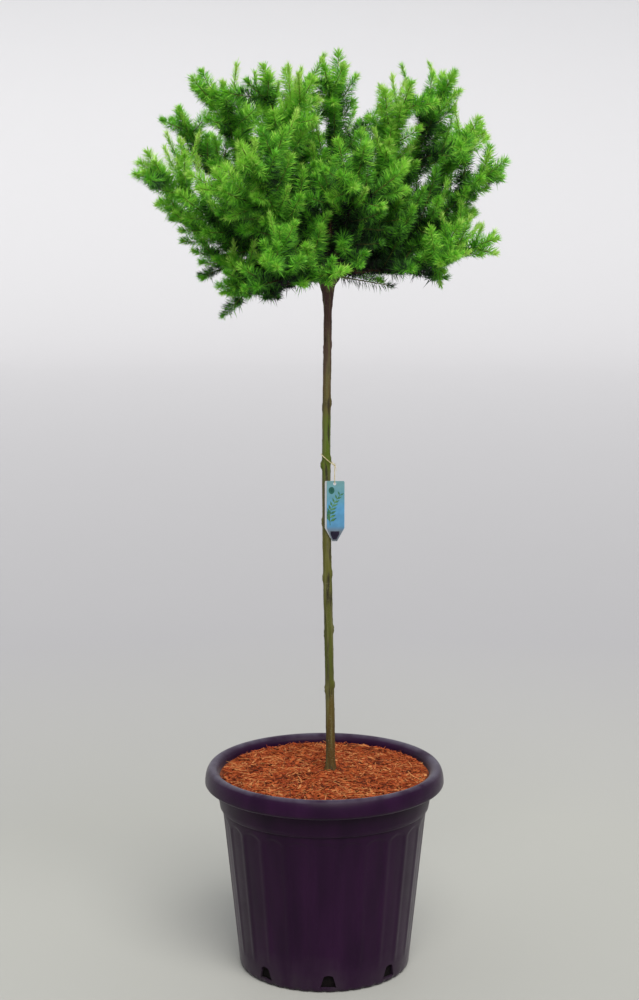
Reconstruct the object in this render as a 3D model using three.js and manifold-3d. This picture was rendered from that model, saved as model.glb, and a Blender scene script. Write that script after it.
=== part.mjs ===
// A tamarack grown as a grafted standard: a thin bare stem with a spreading, shaggy head of
// short-needled shoots, planted in a round black nursery pot topped with shredded bark.
// Millimetres, +Z up. The origin is the centre of the pot's flat underside, +X is to the right
// as the tree is seen from the front, and the front faces -Y.
import * as THREE from "three";
import { mergeVertices } from "three/addons/utils/BufferGeometryUtils.js";
import Module from "manifold-3d";

const wasm = await Module();
wasm.setup();

// Driving dimensions. Lengths are in millimetres and angles in degrees.
const GAP = 0.3; // between pieces that rest on each other

const POT = {
  height: 376,
  footRadius: 152.5, // on the ground
  bodyFootRadius: 155.6, // just above the rounded foot
  footRounding: 8,
  bodyTopRadius: 186.4,
  collarFoot: 301.5, // height of the small ledge at which the plain collar starts
  collarRadius: 190.7,
  neckRadius: 196.3,
  neckHeight: 336,
  rimUnderRadius: 200.5, // the rolled rim's lower edge
  rimUnder: 340,
  rimLipRadius: 212.6, // where the lower edge turns up
  rimLip: 342.5,
  rimRadius: 217.8, // outside of the rolled rim
  rimBandLow: 348,
  rimBandHigh: 352,
  rimShoulderRadius: 214.6,
  rimShoulder: 366,
  crestRadius: 206,
  innerRimRadius: 192,
  innerRimHeight: 362,
  wall: 5,
  rimWall: 7,
  floor: 4,
  flutes: 24,
  fluteDepth: 1.8,
  fluteFoot: 46, // the flutes are full from here
  fluteHigh: 278, // to here
  fluteTop: 290, // and fade out here
  segmentsPerFlute: 3,
  drains: 8,
  drainTurn: 2.5, // the front drain hole sits a little to the right
  drainWidth: 29, // at the foot of the hole
  drainTopWidth: 18, // where its arch starts
  drainLow: 10,
  drainHigh: 34,
  cutDepth: 40,
};

// The mulch is level where the stem stands and falls a little towards the pot's wall.
const BARK_MULCH = {
  top: 366,
  shoulder: 365,
  edge: 361,
  padRadius: 28,
  shoulderRadius: 102,
  play: 1, // kept clear of the pot's wall
  segments: 48,
};

const STEM = {
  footX: 11,
  bowX: 3,
  bowHeight: 930,
  headX: 6,
  footRadius: 11.5, // the root flare at the ground
  flareHeight: 30,
  lowRadius: 8.3,
  highRadius: 7.0,
  graftHeight: 1190, // where the stem starts to swell into the grafted head
  headHeight: 1268, // the middle of the head, from which all the boughs leave
  headRadius: 19,
  tipHeight: 1292,
  tipRadius: 10,
  widest: 6, // the head is widest this far below and above its middle
  sides: 10,
};

// Knots, where side shoots were cut off, sit in pairs up the stem, one to the left and one to the
// right and a little higher. The label's tie hangs on the big one.
const KNOTS = {
  pairs: 7,
  first: 519,
  step: 103,
  rightHigher: 9,
  bulge: 2.2,
  spread: 11,
  bigPair: 4,
  bigBulge: 4.2,
  wander: 25,
};

// The boughs, each with the mass of foliage that it carries. turn is measured from +X towards +Y,
// so 270 faces the front, rise is above the horizontal, and reach is from the head to the furthest
// tip. roll turns the mass's side shoots about the limb.
const BOUGHS = {
  low_right: { turn: 10, rise: 22, reach: 301, roll: 312 },
  low_back_right: { turn: 68, rise: 8, reach: 246, roll: 56 },
  low_back_left: { turn: 155, rise: 19, reach: 376, roll: 284 },
  low_left: { turn: 176, rise: 10, reach: 256, roll: 220 },
  low_front_left: { turn: 196, rise: -4, reach: 216, roll: 60 },
  low_front: { turn: 248, rise: 9, reach: 303, roll: 44 },
  low_front_right: { turn: 342, rise: 13, reach: 327, roll: 76 },
  mid_right: { turn: 351, rise: 33, reach: 384, roll: 12 },
  mid_back_right: { turn: 33, rise: 38, reach: 438, roll: 336 },
  mid_back: { turn: 99, rise: 20, reach: 345, roll: 84 },
  mid_back_left: { turn: 148, rise: 39, reach: 444, roll: 300 },
  mid_left: { turn: 185, rise: 31, reach: 399, roll: 16 },
  mid_front_left: { turn: 241, rise: 38, reach: 393, roll: 72 },
  mid_front: { turn: 285, rise: 45, reach: 344, roll: 264 },
  high_right: { turn: 4, rise: 58, reach: 430, roll: 336 },
  high_back: { turn: 108, rise: 55, reach: 452, roll: 164 },
  high_left: { turn: 176, rise: 58, reach: 432, roll: 108 },
  high_front_left: { turn: 227, rise: 66, reach: 409, roll: 104 },
  high_front_right: { turn: 322, rise: 62, reach: 392, roll: 56 },
  top: { turn: 70, rise: 82, reach: 404, roll: 56 },
};

const LIMB = {
  bow: 0.05, // how far a limb dips below its straight line, as a share of its reach
  boughShare: 0.21, // of the reach, where the bough enters its mass
  rootRadius: 5,
  endRadius: 3.6,
  tipRadius: 1.4,
  sides: 5,
  boughRings: 3,
};

const SHOOTS = {
  perMass: 5,
  first: 0.28, // places of the lowest and highest side shoot, as shares of the reach
  last: 0.82,
  goldenTurn: 137.5,
  lowSpread: 60, // angle between a side shoot and its limb
  highSpread: 42,
  longest: 0.42, // lengths of the lowest and highest side shoot, as shares of the reach
  shortest: 0.24,
  lift: 0.13, // how far a side shoot turns up, as a share of its length
  inside: 0.05, // share of the reach by which side shoots stay short of the limb's tip
  room: 6, // kept round the middle and the end of a side shoot
  shareJitter: 0.05,
  shorter: 0.82, // each further try of a shoot that leaves its mass's space
  leastLength: 42,
  tries: 5,
};

// A shoot's slim core is three-sided, and sprays of needles stand out of its faces.
const NEEDLES = {
  coreStep: 22,
  coreTwist: 47,
  coreRadius: 7.5, // a little way up the shoot
  sideRootRadius: 3,
  fullAt: 0.3, // share of the shoot where the core is thickest
  length: 27,
  lengthSpread: 7,
  tipRoom: 18, // from the end of a limb's core to its reach
  endSpike: 16, // the spray at the end of a shoot
  lean: 38, // towards the shoot's tip
  bareRoot: 16, // the first stretch of a side shoot has none
  space: 0.6, // kept clear on each side of the faces between two masses
  limbSpace: 1.5, // kept clear of every bough
  stemSpace: 12, // kept clear of the stem and its head
  shortened: 0.6, // a spray that does not fit is tried once more at this share of its length
};

const LABEL = {
  x: 18,
  y: -11,
  top: 904,
  height: 109,
  width: 35,
  taper: 24, // height of the pointed lower end
  tipWidth: 9,
  card: 1.2,
  holeDrop: 5,
  holeRadius: 2.8,
};

// The label's tie is a slanting ring round the stem with a narrow loop that hangs from its low end.
const TIE = {
  strand: 0.8,
  height: 940,
  slant: 10.5, // of the ring's right end below its middle, and of its left end above
  rightX: 19,
  clearance: 0.62,
  depth: 10, // half the ring's size from front to back
  loopWidth: 5, // half the loop's size across
  loopPlay: 1.3, // between the loop and the top of the label's hole
  loopTopY: -5,
  steps: 16,
  sides: 5,
};

const radians = THREE.MathUtils.degToRad;
const UP = new THREE.Vector3(0, 0, 1);

// A repeatable number from 0 to 1: the draw-th draw of a numbered thing.
function chance(thing, draw) {
  const wave = Math.sin(thing * 127.1 + draw * 311.7) * 43758.5453;
  return wave - Math.floor(wave);
}

// A unit vector that points along a turn and a rise in degrees.
function heading(turn, rise) {
  const level = Math.cos(radians(rise));
  return new THREE.Vector3(
    level * Math.cos(radians(turn)),
    level * Math.sin(radians(turn)),
    Math.sin(radians(rise)),
  );
}

// A closed geometry as a solid that can be cut and joined.
function solid(geometry) {
  const bare = geometry.index ? geometry.toNonIndexed() : geometry.clone();
  bare.deleteAttribute("normal");
  bare.deleteAttribute("uv");
  const merged = mergeVertices(bare, 1e-3);
  return new wasm.Manifold(
    new wasm.Mesh({
      numProp: 3,
      vertProperties: merged.attributes.position.array,
      triVerts: new Uint32Array(merged.index.array),
    }),
  );
}

// A named mesh from a solid.
function piece(name, shape, material) {
  const mesh = shape.getMesh();
  const positions = new Float32Array(mesh.numVert * 3);
  for (let i = 0; i < mesh.numVert; i++) {
    const from = i * mesh.numProp;
    positions.set(mesh.vertProperties.subarray(from, from + 3), i * 3);
  }
  const geometry = new THREE.BufferGeometry();
  geometry.setAttribute("position", new THREE.BufferAttribute(positions, 3));
  geometry.setIndex(new THREE.BufferAttribute(new Uint32Array(mesh.triVerts), 1));
  geometry.computeVertexNormals();
  const made = new THREE.Mesh(geometry, material);
  made.name = name;
  return made;
}

// A geometry from a list of corner points, three to a face.
function faceted(corners) {
  const geometry = new THREE.BufferGeometry();
  geometry.setFromPoints(corners);
  return geometry;
}

// The two directions across a path at a point, for a path that never runs along keep.
function across(tangent, keep) {
  const side = new THREE.Vector3().crossVectors(tangent, keep).normalize();
  const over = new THREE.Vector3().crossVectors(side, tangent).normalize();
  return { side, over };
}

// Rings of points round a path. radiusAt(share) gives the radius at a share of the path, and each
// ring is turned by twist from the last.
function ringsAlong(path, count, sides, radiusAt, twist = 0) {
  const start = path(1e-3).sub(path(0)).normalize();
  const keep = Math.abs(start.z) > 0.85 ? new THREE.Vector3(1, 0, 0) : UP;
  const rings = [];
  for (let i = 0; i <= count; i++) {
    const share = i / count;
    const centre = path(share);
    const ahead = path(Math.min(1, share + 0.01));
    const behind = path(Math.max(0, share - 0.01));
    const tangent = ahead.sub(behind).normalize();
    const { side, over } = across(tangent, keep);
    const ring = [];
    for (let k = 0; k < sides; k++) {
      const angle = (k / sides) * Math.PI * 2 + radians(twist) * i;
      const radius = radiusAt(share);
      ring.push(
        centre
          .clone()
          .addScaledVector(over, radius * Math.cos(angle))
          .addScaledVector(side, radius * Math.sin(angle)),
      );
    }
    rings.push({ centre, tangent, ring });
  }
  return rings;
}

// The faces between two rings, and a fan that closes an end.
function band(low, high) {
  const faces = [];
  low.forEach((a, k) => {
    const next = (k + 1) % low.length;
    faces.push([a, low[next], high[k]]);
    faces.push([low[next], high[next], high[k]]);
  });
  return faces;
}

function fan(centre, ring, outward) {
  return ring.map((a, k) => {
    const b = ring[(k + 1) % ring.length];
    return outward ? [centre, a, b] : [centre, b, a];
  });
}

// A limb with flat ends.
function limb(rings) {
  const faces = fan(rings[0].centre, rings[0].ring, false);
  for (let i = 1; i < rings.length; i++) faces.push(...band(rings[i - 1].ring, rings[i].ring));
  const end = rings.at(-1);
  faces.push(...fan(end.centre, end.ring, true));
  return solid(faceted(faces.flat()));
}

const smooth = (share) => share * share * (3 - 2 * share);
const between = (low, high, value) => Math.min(1, Math.max(0, (value - low) / (high - low)));
const GROUND = BARK_MULCH.top;

// The stem's middle line bows a little to the left between its foot and its head.
function stemX(height) {
  const { footX, bowX, bowHeight, headX, headHeight } = STEM;
  const low = smooth(between(GROUND, bowHeight, height));
  const high = smooth(between(bowHeight, headHeight, height));
  return footX + (bowX - footX) * low + (headX - bowX) * high;
}

// The stem's radius by height: root flare, long taper, and the swollen grafted head.
function stemRadius(height) {
  const { flareHeight, footRadius, lowRadius, highRadius } = STEM;
  const { graftHeight, headHeight, headRadius, tipHeight, tipRadius } = STEM;
  const flare = (1 - between(GROUND, GROUND + flareHeight, height)) ** 2 * (footRadius - lowRadius);
  const taper = lowRadius + (highRadius - lowRadius) * between(GROUND, graftHeight, height);
  const swelling = between(graftHeight, headHeight - STEM.widest, height) ** 3;
  const closing = smooth(between(headHeight + STEM.widest, tipHeight, height));
  const plain = taper + flare + (headRadius - taper) * swelling;
  return plain + (tipRadius - plain) * closing;
}

// The knots' heights, directions (measured from +X towards +Y) and bulges.
function knots() {
  const list = [];
  for (let pair = 0; pair < KNOTS.pairs; pair++) {
    const height = KNOTS.first + pair * KNOTS.step;
    for (const side of [0, 1]) {
      const big = pair === KNOTS.bigPair && side === 0;
      const wander = big ? 0 : (chance(pair, 3 + side) - 0.5) * 2 * KNOTS.wander;
      list.push({
        height: height + side * KNOTS.rightHigher,
        turn: 180 - side * 180 + wander,
        bulge: big ? KNOTS.bigBulge : KNOTS.bulge * (0.6 + 0.8 * chance(pair, 5 + side)),
      });
    }
  }
  return list;
}

// The heights of the stem's rings: close together at the flare, the knots and the head.
function stemHeights() {
  const { flareHeight, graftHeight, headHeight, tipHeight, widest } = STEM;
  const heights = [0, flareHeight / 3, flareHeight, flareHeight * 3].map((h) => GROUND + GAP + h);
  for (let pair = 0; pair < KNOTS.pairs; pair++) {
    const middle = KNOTS.first + pair * KNOTS.step;
    const top = middle + KNOTS.rightHigher;
    heights.push(middle - KNOTS.spread, middle, top, top + KNOTS.spread);
  }
  for (const share of [0.35, 0.6, 0.8]) heights.push(graftHeight + (headHeight - graftHeight) * share);
  heights.push(headHeight - widest, headHeight + widest);
  heights.push((headHeight + widest + tipHeight) / 2, tipHeight);
  return heights;
}

function stemSolid(extra = 0) {
  const list = knots();
  const rings = stemHeights().map((height) => {
    const centre = new THREE.Vector3(stemX(height), 0, height);
    const ring = [];
    for (let k = 0; k < STEM.sides; k++) {
      const angle = (k / STEM.sides) * Math.PI * 2;
      const radius = list.reduce((sum, knot) => {
        const near = Math.max(0, 1 - Math.abs(height - knot.height) / KNOTS.spread);
        const facing = Math.max(0, Math.cos(angle - radians(knot.turn))) ** 3;
        return sum + knot.bulge * near * facing;
      }, stemRadius(height) + extra);
      const out = new THREE.Vector3(Math.cos(angle), Math.sin(angle), 0);
      ring.push(centre.clone().addScaledVector(out, radius));
    }
    return { centre, ring };
  });
  return limb(rings);
}

const HEAD = new THREE.Vector3(STEM.headX, 0, STEM.headHeight);
const limbs = Object.entries(BOUGHS).map(([name, bough], index) => {
  const axis = heading(bough.turn, bough.rise);
  const keep = Math.abs(axis.z) > 0.97 ? new THREE.Vector3(0, -1, 0) : UP;
  const { side, over } = across(axis, keep);
  return { name, index, ...bough, axis, side, over };
});

// A point on the middle line of a limb, from the head at 0 to its furthest tip at 1. The limb dips
// in its middle.
function limbPoint(limbOf, share) {
  const dip = limbOf.reach * LIMB.bow * Math.sin(Math.PI * share) ** 2;
  return HEAD.clone()
    .addScaledVector(limbOf.axis, limbOf.reach * share)
    .addScaledVector(limbOf.over, -dip);
}

// How far a point lies inside the space of a limb's mass. The spaces are wedges that meet at the
// head, each nearer its own limb's direction than any other's.
function depthInSpace(limbOf, point) {
  const from = point.clone().sub(HEAD);
  return limbs.reduce((least, other) => {
    if (other === limbOf) return least;
    const apart = limbOf.axis.clone().sub(other.axis);
    return Math.min(least, from.dot(apart) / apart.length());
  }, limbOf.reach - from.length());
}

const boughRadius = (share) =>
  THREE.MathUtils.lerp(LIMB.rootRadius, LIMB.endRadius, share / LIMB.boughShare);

// The distance from a point to the nearest bough's surface.
function clearOfBoughs(point) {
  const from = point.clone().sub(HEAD);
  return limbs.reduce((least, each) => {
    const along = from.dot(each.axis) / each.reach;
    const share = Math.min(LIMB.boughShare, Math.max(0, along));
    const distance = point.distanceTo(limbPoint(each, share)) - boughRadius(share);
    return Math.min(least, distance);
  }, Infinity);
}

// The distance from a point to the stem's surface.
function clearOfStem(point) {
  const height = Math.min(STEM.tipHeight, point.z);
  return Math.hypot(point.x - stemX(height), point.y, point.z - height) - stemRadius(height);
}

// Draws each ring's corners in towards its centre until they lie inside the limb's space.
function squeeze(limbOf, rings, space) {
  for (const { centre, ring } of rings) {
    for (const corner of ring) {
      for (let t = 0; t < 12 && depthInSpace(limbOf, corner) < space; t++) corner.lerp(centre, 0.15);
    }
  }
  return rings;
}

const stemAround = stemSolid(GAP);

function boughSolid(limbOf) {
  const path = (share) => limbPoint(limbOf, share * LIMB.boughShare);
  const radiusAt = (share) => boughRadius(share * LIMB.boughShare);
  const rings = ringsAlong(path, LIMB.boughRings, LIMB.sides, radiusAt);
  return limb(squeeze(limbOf, rings, GAP / 2)).subtract(stemAround);
}

// Whether a spray's tip may be at a point: inside its mass's space and clear of the wood.
function fits(limbOf, tip) {
  const inSpace = depthInSpace(limbOf, tip) > NEEDLES.space;
  return inSpace && clearOfBoughs(tip) > NEEDLES.limbSpace && clearOfStem(tip) > NEEDLES.stemSpace;
}

// A shoot: a three-sided core along a path, each face of which is drawn out into a spray of
// needles that leans towards the tip.
function shoot({ limbOf, path, length, rootRadius, seed }) {
  const count = Math.max(3, Math.round(length / NEEDLES.coreStep));
  const { coreRadius, fullAt } = NEEDLES;
  const radiusAt = (share) =>
    share < fullAt
      ? THREE.MathUtils.lerp(rootRadius, coreRadius, share / fullAt)
      : THREE.MathUtils.lerp(coreRadius, LIMB.tipRadius, (share - fullAt) / (1 - fullAt));
  const rings = squeeze(
    limbOf,
    ringsAlong(path, count, 3, radiusAt, NEEDLES.coreTwist),
    NEEDLES.space,
  );
  const faces = fan(rings[0].centre, rings[0].ring, false);
  const lean = radians(NEEDLES.lean);
  let draw = 0;
  for (let i = 1; i <= count; i++) {
    const bare = (length * (i - 0.5)) / count < NEEDLES.bareRoot;
    const middle = rings[i - 1].centre.clone().add(rings[i].centre).multiplyScalar(0.5);
    for (const face of band(rings[i - 1].ring, rings[i].ring)) {
      draw += 1;
      const root = face[0].clone().add(face[1]).add(face[2]).divideScalar(3);
      const out = root.clone().sub(middle);
      out.addScaledVector(rings[i].tangent, -out.dot(rings[i].tangent)).normalize();
      const reach = NEEDLES.length + (chance(seed, draw) - 0.5) * 2 * NEEDLES.lengthSpread;
      const needle = out.multiplyScalar(reach * Math.cos(lean));
      needle.addScaledVector(rings[i].tangent, reach * Math.sin(lean));
      const tip = root.clone().add(needle);
      if (!fits(limbOf, tip)) tip.addScaledVector(needle, NEEDLES.shortened - 1);
      if (bare || !fits(limbOf, tip)) {
        faces.push(face);
      } else {
        face.forEach((corner, k) => faces.push([corner, face[(k + 1) % 3], tip]));
      }
    }
  }
  const end = rings[count];
  const tip = end.centre.clone().addScaledVector(end.tangent, NEEDLES.endSpike);
  faces.push(...fan(fits(limbOf, tip) ? tip : end.centre, end.ring, true));
  return solid(faceted(faces.flat()));
}

// The side shoots of a mass, as paths that keep to its space.
function sideShoots(limbOf) {
  const made = [];
  for (let k = 0; k < SHOOTS.perMass; k++) {
    const place = k / (SHOOTS.perMass - 1);
    const seed = limbOf.index * 50 + k;
    const jitter = (chance(seed, 1) - 0.5) * SHOOTS.shareJitter;
    const share = THREE.MathUtils.lerp(SHOOTS.first, SHOOTS.last, place) + jitter;
    const root = limbPoint(limbOf, share);
    const tangent = limbPoint(limbOf, share + 0.01).sub(limbPoint(limbOf, share - 0.01)).normalize();
    const { side, over } = across(tangent, limbOf.over);
    const round = radians(limbOf.roll + k * SHOOTS.goldenTurn);
    const spread = radians(THREE.MathUtils.lerp(SHOOTS.lowSpread, SHOOTS.highSpread, place));
    const direction = tangent
      .clone()
      .multiplyScalar(Math.cos(spread))
      .addScaledVector(side, Math.sin(spread) * Math.cos(round))
      .addScaledVector(over, Math.sin(spread) * Math.sin(round));
    const size = THREE.MathUtils.lerp(SHOOTS.longest, SHOOTS.shortest, place);
    let length = limbOf.reach * size * (0.85 + 0.3 * chance(seed, 2));
    for (let t = 0; t < SHOOTS.tries && length > SHOOTS.leastLength; t++) {
      const reach = length;
      const path = (at) =>
        root
          .clone()
          .addScaledVector(direction, reach * at)
          .addScaledVector(UP, reach * SHOOTS.lift * at * at);
      const room = Math.min(depthInSpace(limbOf, path(1)), depthInSpace(limbOf, path(0.5)));
      const short = limbOf.reach * (1 - SHOOTS.inside) - path(1).distanceTo(HEAD);
      if (Math.min(room, short) > SHOOTS.room) {
        made.push({ path, length: reach, seed });
        break;
      }
      length *= SHOOTS.shorter;
    }
  }
  return made;
}

// A mass of foliage: the limb's leading shoot with its side shoots, fused into one.
function massSolid(limbOf) {
  const start = LIMB.boughShare + GAP / limbOf.reach;
  const end = 1 - NEEDLES.tipRoom / limbOf.reach;
  const leader = shoot({
    limbOf,
    path: (share) => limbPoint(limbOf, start + (end - start) * share),
    length: limbOf.reach * (end - start),
    rootRadius: LIMB.endRadius,
    seed: limbOf.index * 50 + 49,
  });
  const sides = sideShoots(limbOf).map(({ path, length, seed }) =>
    shoot({ limbOf, path, length, rootRadius: NEEDLES.sideRootRadius, seed }),
  );
  return sides.reduce((whole, each) => whole.add(each), leader);
}

// The radius of the pot's straight body outside, without its flutes.
function bodyRadius(height) {
  return THREE.MathUtils.lerp(POT.bodyFootRadius, POT.bodyTopRadius, height / POT.collarFoot);
}

// The pot's section, from the middle of its underside round the outside to the inside.
function potProfile() {
  const p = POT;
  const outside = [
    [0, 0],
    [p.footRadius, 0],
    [bodyRadius(p.footRounding), p.footRounding],
    [bodyRadius(p.fluteFoot), p.fluteFoot],
    [bodyRadius(p.fluteHigh), p.fluteHigh],
    [bodyRadius(p.fluteTop), p.fluteTop],
    [p.bodyTopRadius, p.collarFoot],
    [p.collarRadius, p.collarFoot + 2],
    [p.neckRadius, p.neckHeight],
    [p.rimUnderRadius, p.rimUnder],
    [p.rimLipRadius, p.rimLip],
    [p.rimRadius, p.rimBandLow],
    [p.rimRadius, p.rimBandHigh],
    [p.rimShoulderRadius, p.rimShoulder],
    [p.crestRadius, p.height],
  ];
  const inside = [
    [p.innerRimRadius, p.innerRimHeight],
    [p.neckRadius - p.rimWall, p.neckHeight],
    [p.bodyTopRadius - p.wall, p.collarFoot],
    [bodyRadius(p.floor) - p.wall, p.floor],
    [0, p.floor],
  ];
  return [...outside, ...inside].map(([radius, height]) => new THREE.Vector2(radius, height));
}

// The arched drain hole that is cut through the foot of the pot's wall.
function drainCutter(angle) {
  const half = POT.drainWidth / 2;
  const topHalf = POT.drainTopWidth / 2;
  const spring = POT.drainHigh - topHalf / 2;
  const outline = new THREE.Shape();
  outline.moveTo(-half, POT.drainLow);
  outline.lineTo(half, POT.drainLow);
  outline.lineTo(topHalf, spring);
  outline.absellipse(0, spring, topHalf, topHalf / 2, 0, Math.PI, false);
  const cutter = new THREE.ExtrudeGeometry(outline, {
    depth: POT.cutDepth,
    bevelEnabled: false,
    curveSegments: 4,
  });
  cutter.translate(0, 0, -POT.cutDepth / 2);
  cutter.rotateX(Math.PI / 2);
  cutter.rotateZ(Math.PI / 2);
  cutter.translate(POT.bodyFootRadius, 0, 0);
  cutter.rotateZ(angle);
  return solid(cutter);
}

function potSolid() {
  const segments = POT.flutes * POT.segmentsPerFlute;
  const shape = new THREE.LatheGeometry(potProfile(), segments);
  shape.rotateX(Math.PI / 2);
  const points = shape.attributes.position;
  for (let i = 0; i < points.count; i++) {
    const [x, y, z] = [points.getX(i), points.getY(i), points.getZ(i)];
    const radius = Math.hypot(x, y);
    const fluted = z >= POT.fluteFoot - 1 && z <= POT.fluteHigh + 1;
    const turn = Math.round((Math.atan2(y, x) / (Math.PI * 2)) * segments);
    if (fluted && turn % POT.segmentsPerFlute !== 0) {
      const share = (radius - POT.fluteDepth) / radius;
      points.setXY(i, x * share, y * share);
    }
  }
  let pot = solid(shape);
  for (let k = 0; k < POT.drains; k++) {
    const angle = radians(270 + POT.drainTurn + (k * 360) / POT.drains);
    pot = pot.subtract(drainCutter(angle));
  }
  return pot;
}

function mulchSolid() {
  const { top, shoulder, edge, padRadius, shoulderRadius, play, segments } = BARK_MULCH;
  const profile = [
    [0, POT.floor + GAP],
    [bodyRadius(POT.floor) - POT.wall - play, POT.floor + GAP],
    [POT.bodyTopRadius - POT.wall - play, POT.collarFoot],
    [POT.neckRadius - POT.rimWall - play, POT.neckHeight],
    [POT.innerRimRadius - play, edge],
    [shoulderRadius, shoulder],
    [padRadius, top],
    [0, top],
  ].map(([radius, height]) => new THREE.Vector2(radius, height));
  const shape = new THREE.LatheGeometry(profile, segments);
  shape.rotateX(Math.PI / 2);
  return solid(shape);
}

// The label: a flat card with a pointed lower end and a hole for its tie.
function labelSolid() {
  const { width, height, taper, tipWidth, card: depth, holeDrop, holeRadius } = LABEL;
  const half = width / 2;
  const outline = new THREE.Shape();
  outline.moveTo(half, 0);
  outline.lineTo(-half, 0);
  outline.lineTo(-half, taper - height);
  outline.lineTo(-tipWidth / 2, -height);
  outline.lineTo(tipWidth / 2, -height);
  outline.lineTo(half, taper - height);
  outline.closePath();
  const hole = new THREE.Path();
  hole.absarc(0, -holeDrop, holeRadius, 0, Math.PI * 2, true);
  outline.holes.push(hole);
  const sheet = new THREE.ExtrudeGeometry(outline, { depth, bevelEnabled: false, curveSegments: 5 });
  sheet.rotateX(Math.PI / 2);
  sheet.translate(LABEL.x, LABEL.y, LABEL.top);
  return solid(sheet);
}

// A closed strand along an oval that lies in the plane of two half axes.
function ovalStrand(centre, halfA, halfB) {
  const normal = new THREE.Vector3().crossVectors(halfA, halfB).normalize();
  const at = (turn) =>
    centre.clone().addScaledVector(halfA, Math.cos(turn)).addScaledVector(halfB, Math.sin(turn));
  const rings = [];
  for (let i = 0; i < TIE.steps; i++) {
    const turn = (i / TIE.steps) * Math.PI * 2;
    const tangent = at(turn + 0.01).sub(at(turn - 0.01)).normalize();
    const side = new THREE.Vector3().crossVectors(tangent, normal);
    const ring = [];
    for (let k = 0; k < TIE.sides; k++) {
      const angle = (k / TIE.sides) * Math.PI * 2;
      ring.push(
        at(turn)
          .addScaledVector(side, TIE.strand * Math.cos(angle))
          .addScaledVector(normal, -TIE.strand * Math.sin(angle)),
      );
    }
    rings.push(ring);
  }
  const faces = rings.map((ring, i) => band(ring, rings[(i + 1) % rings.length])).flat();
  return solid(faceted(faces.flat()));
}

function tieSolid() {
  const leftX = stemX(TIE.height) - stemRadius(TIE.height) - TIE.clearance - TIE.strand;
  const middle = new THREE.Vector3((leftX + TIE.rightX) / 2, 0, TIE.height);
  const halfWidth = new THREE.Vector3((TIE.rightX - leftX) / 2, 0, -TIE.slant);
  const ring = ovalStrand(middle, halfWidth, new THREE.Vector3(0, TIE.depth, 0));
  const hang = LABEL.top - LABEL.holeDrop + LABEL.holeRadius - TIE.loopPlay - TIE.strand;
  const low = new THREE.Vector3(LABEL.x, LABEL.y - LABEL.card / 2, hang);
  const high = new THREE.Vector3(LABEL.x, TIE.loopTopY, TIE.height - TIE.slant + TIE.strand);
  const halfLength = high.clone().sub(low).multiplyScalar(0.5);
  const halfWide = new THREE.Vector3(0, halfLength.z, -halfLength.y).setLength(TIE.loopWidth);
  const loop = ovalStrand(low.clone().add(halfLength), halfLength, halfWide);
  return ring.add(loop);
}

const bark = new THREE.MeshStandardMaterial({ color: 0x5f5a35, roughness: 0.9, metalness: 0 });
const boughBark = new THREE.MeshStandardMaterial({ color: 0x5a3c2c, roughness: 0.9, metalness: 0 });
const foliage = new THREE.MeshStandardMaterial({ color: 0x4a8f28, roughness: 0.6, metalness: 0 });
const plastic = new THREE.MeshStandardMaterial({ color: 0x2b1e30, roughness: 0.45, metalness: 0 });
const mulch = new THREE.MeshStandardMaterial({ color: 0x96502b, roughness: 0.95, metalness: 0 });
const card = new THREE.MeshStandardMaterial({ color: 0x8fc2d8, roughness: 0.5, metalness: 0 });
const raffia = new THREE.MeshStandardMaterial({ color: 0xcdbd84, roughness: 0.8, metalness: 0 });

const tree = new THREE.Group();
tree.name = "tamarack_standard";
tree.add(piece("pot", potSolid(), plastic));
tree.add(piece("bark_mulch", mulchSolid(), mulch));
tree.add(piece("trunk", stemSolid(), bark));
for (const each of limbs) {
  tree.add(piece(`bough_${each.name}`, boughSolid(each), boughBark));
  tree.add(piece(`foliage_${each.name}`, massSolid(each), foliage));
}
tree.add(piece("label", labelSolid(), card));
tree.add(piece("label_tie", tieSolid(), raffia));

export default tree;
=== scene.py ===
"""A tamarack grown as a grafted standard in a round nursery pot, dressed for looking at.

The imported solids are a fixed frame. This script puts finer meshes in their place: a stem and
boughs with the relief of their bark, twigs and needles that grow on from the boughs by the rule
that shapes the solids, a fluted pot, shredded bark on its filling, and a label on its tie.
Lengths are in millimetres and angles in degrees, until a mesh or a light is made in metres.
"""

import logging
import math
from dataclasses import dataclass
from dataclasses import field
from dataclasses import replace
from enum import Enum
from functools import cached_property
from typing import Callable

import bmesh
import bpy
import numpy as np
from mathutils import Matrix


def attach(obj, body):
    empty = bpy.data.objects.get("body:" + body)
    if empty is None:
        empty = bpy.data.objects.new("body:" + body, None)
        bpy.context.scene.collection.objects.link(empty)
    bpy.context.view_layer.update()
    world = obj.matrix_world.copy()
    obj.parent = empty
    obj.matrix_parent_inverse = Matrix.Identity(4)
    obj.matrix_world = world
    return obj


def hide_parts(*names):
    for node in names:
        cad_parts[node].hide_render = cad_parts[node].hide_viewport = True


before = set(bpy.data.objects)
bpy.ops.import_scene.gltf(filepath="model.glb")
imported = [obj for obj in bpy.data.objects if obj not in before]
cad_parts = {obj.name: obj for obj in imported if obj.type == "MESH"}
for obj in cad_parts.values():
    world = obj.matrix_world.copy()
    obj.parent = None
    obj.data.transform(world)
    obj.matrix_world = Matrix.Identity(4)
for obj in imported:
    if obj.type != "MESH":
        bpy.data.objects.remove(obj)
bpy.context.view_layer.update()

log = logging.getLogger("tamarack")

MM = 0.001
BODY = "root"
GOLDEN_TURN = 137.5
UP = np.array([0.0, 0.0, 1.0])
FRONT = np.array([0.0, -1.0, 0.0])
HEAD = np.array([6.0, 0.0, 1268.0])
STEEP = 0.9

Array = np.ndarray
Numbers = np.ndarray | float
Colour = tuple[float, float, float]
Triple = tuple[float, float, float]
Stops = tuple[tuple[float, Colour], ...]
Path = Callable[[Array], Array]
Socket = bpy.types.NodeSocket


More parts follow.
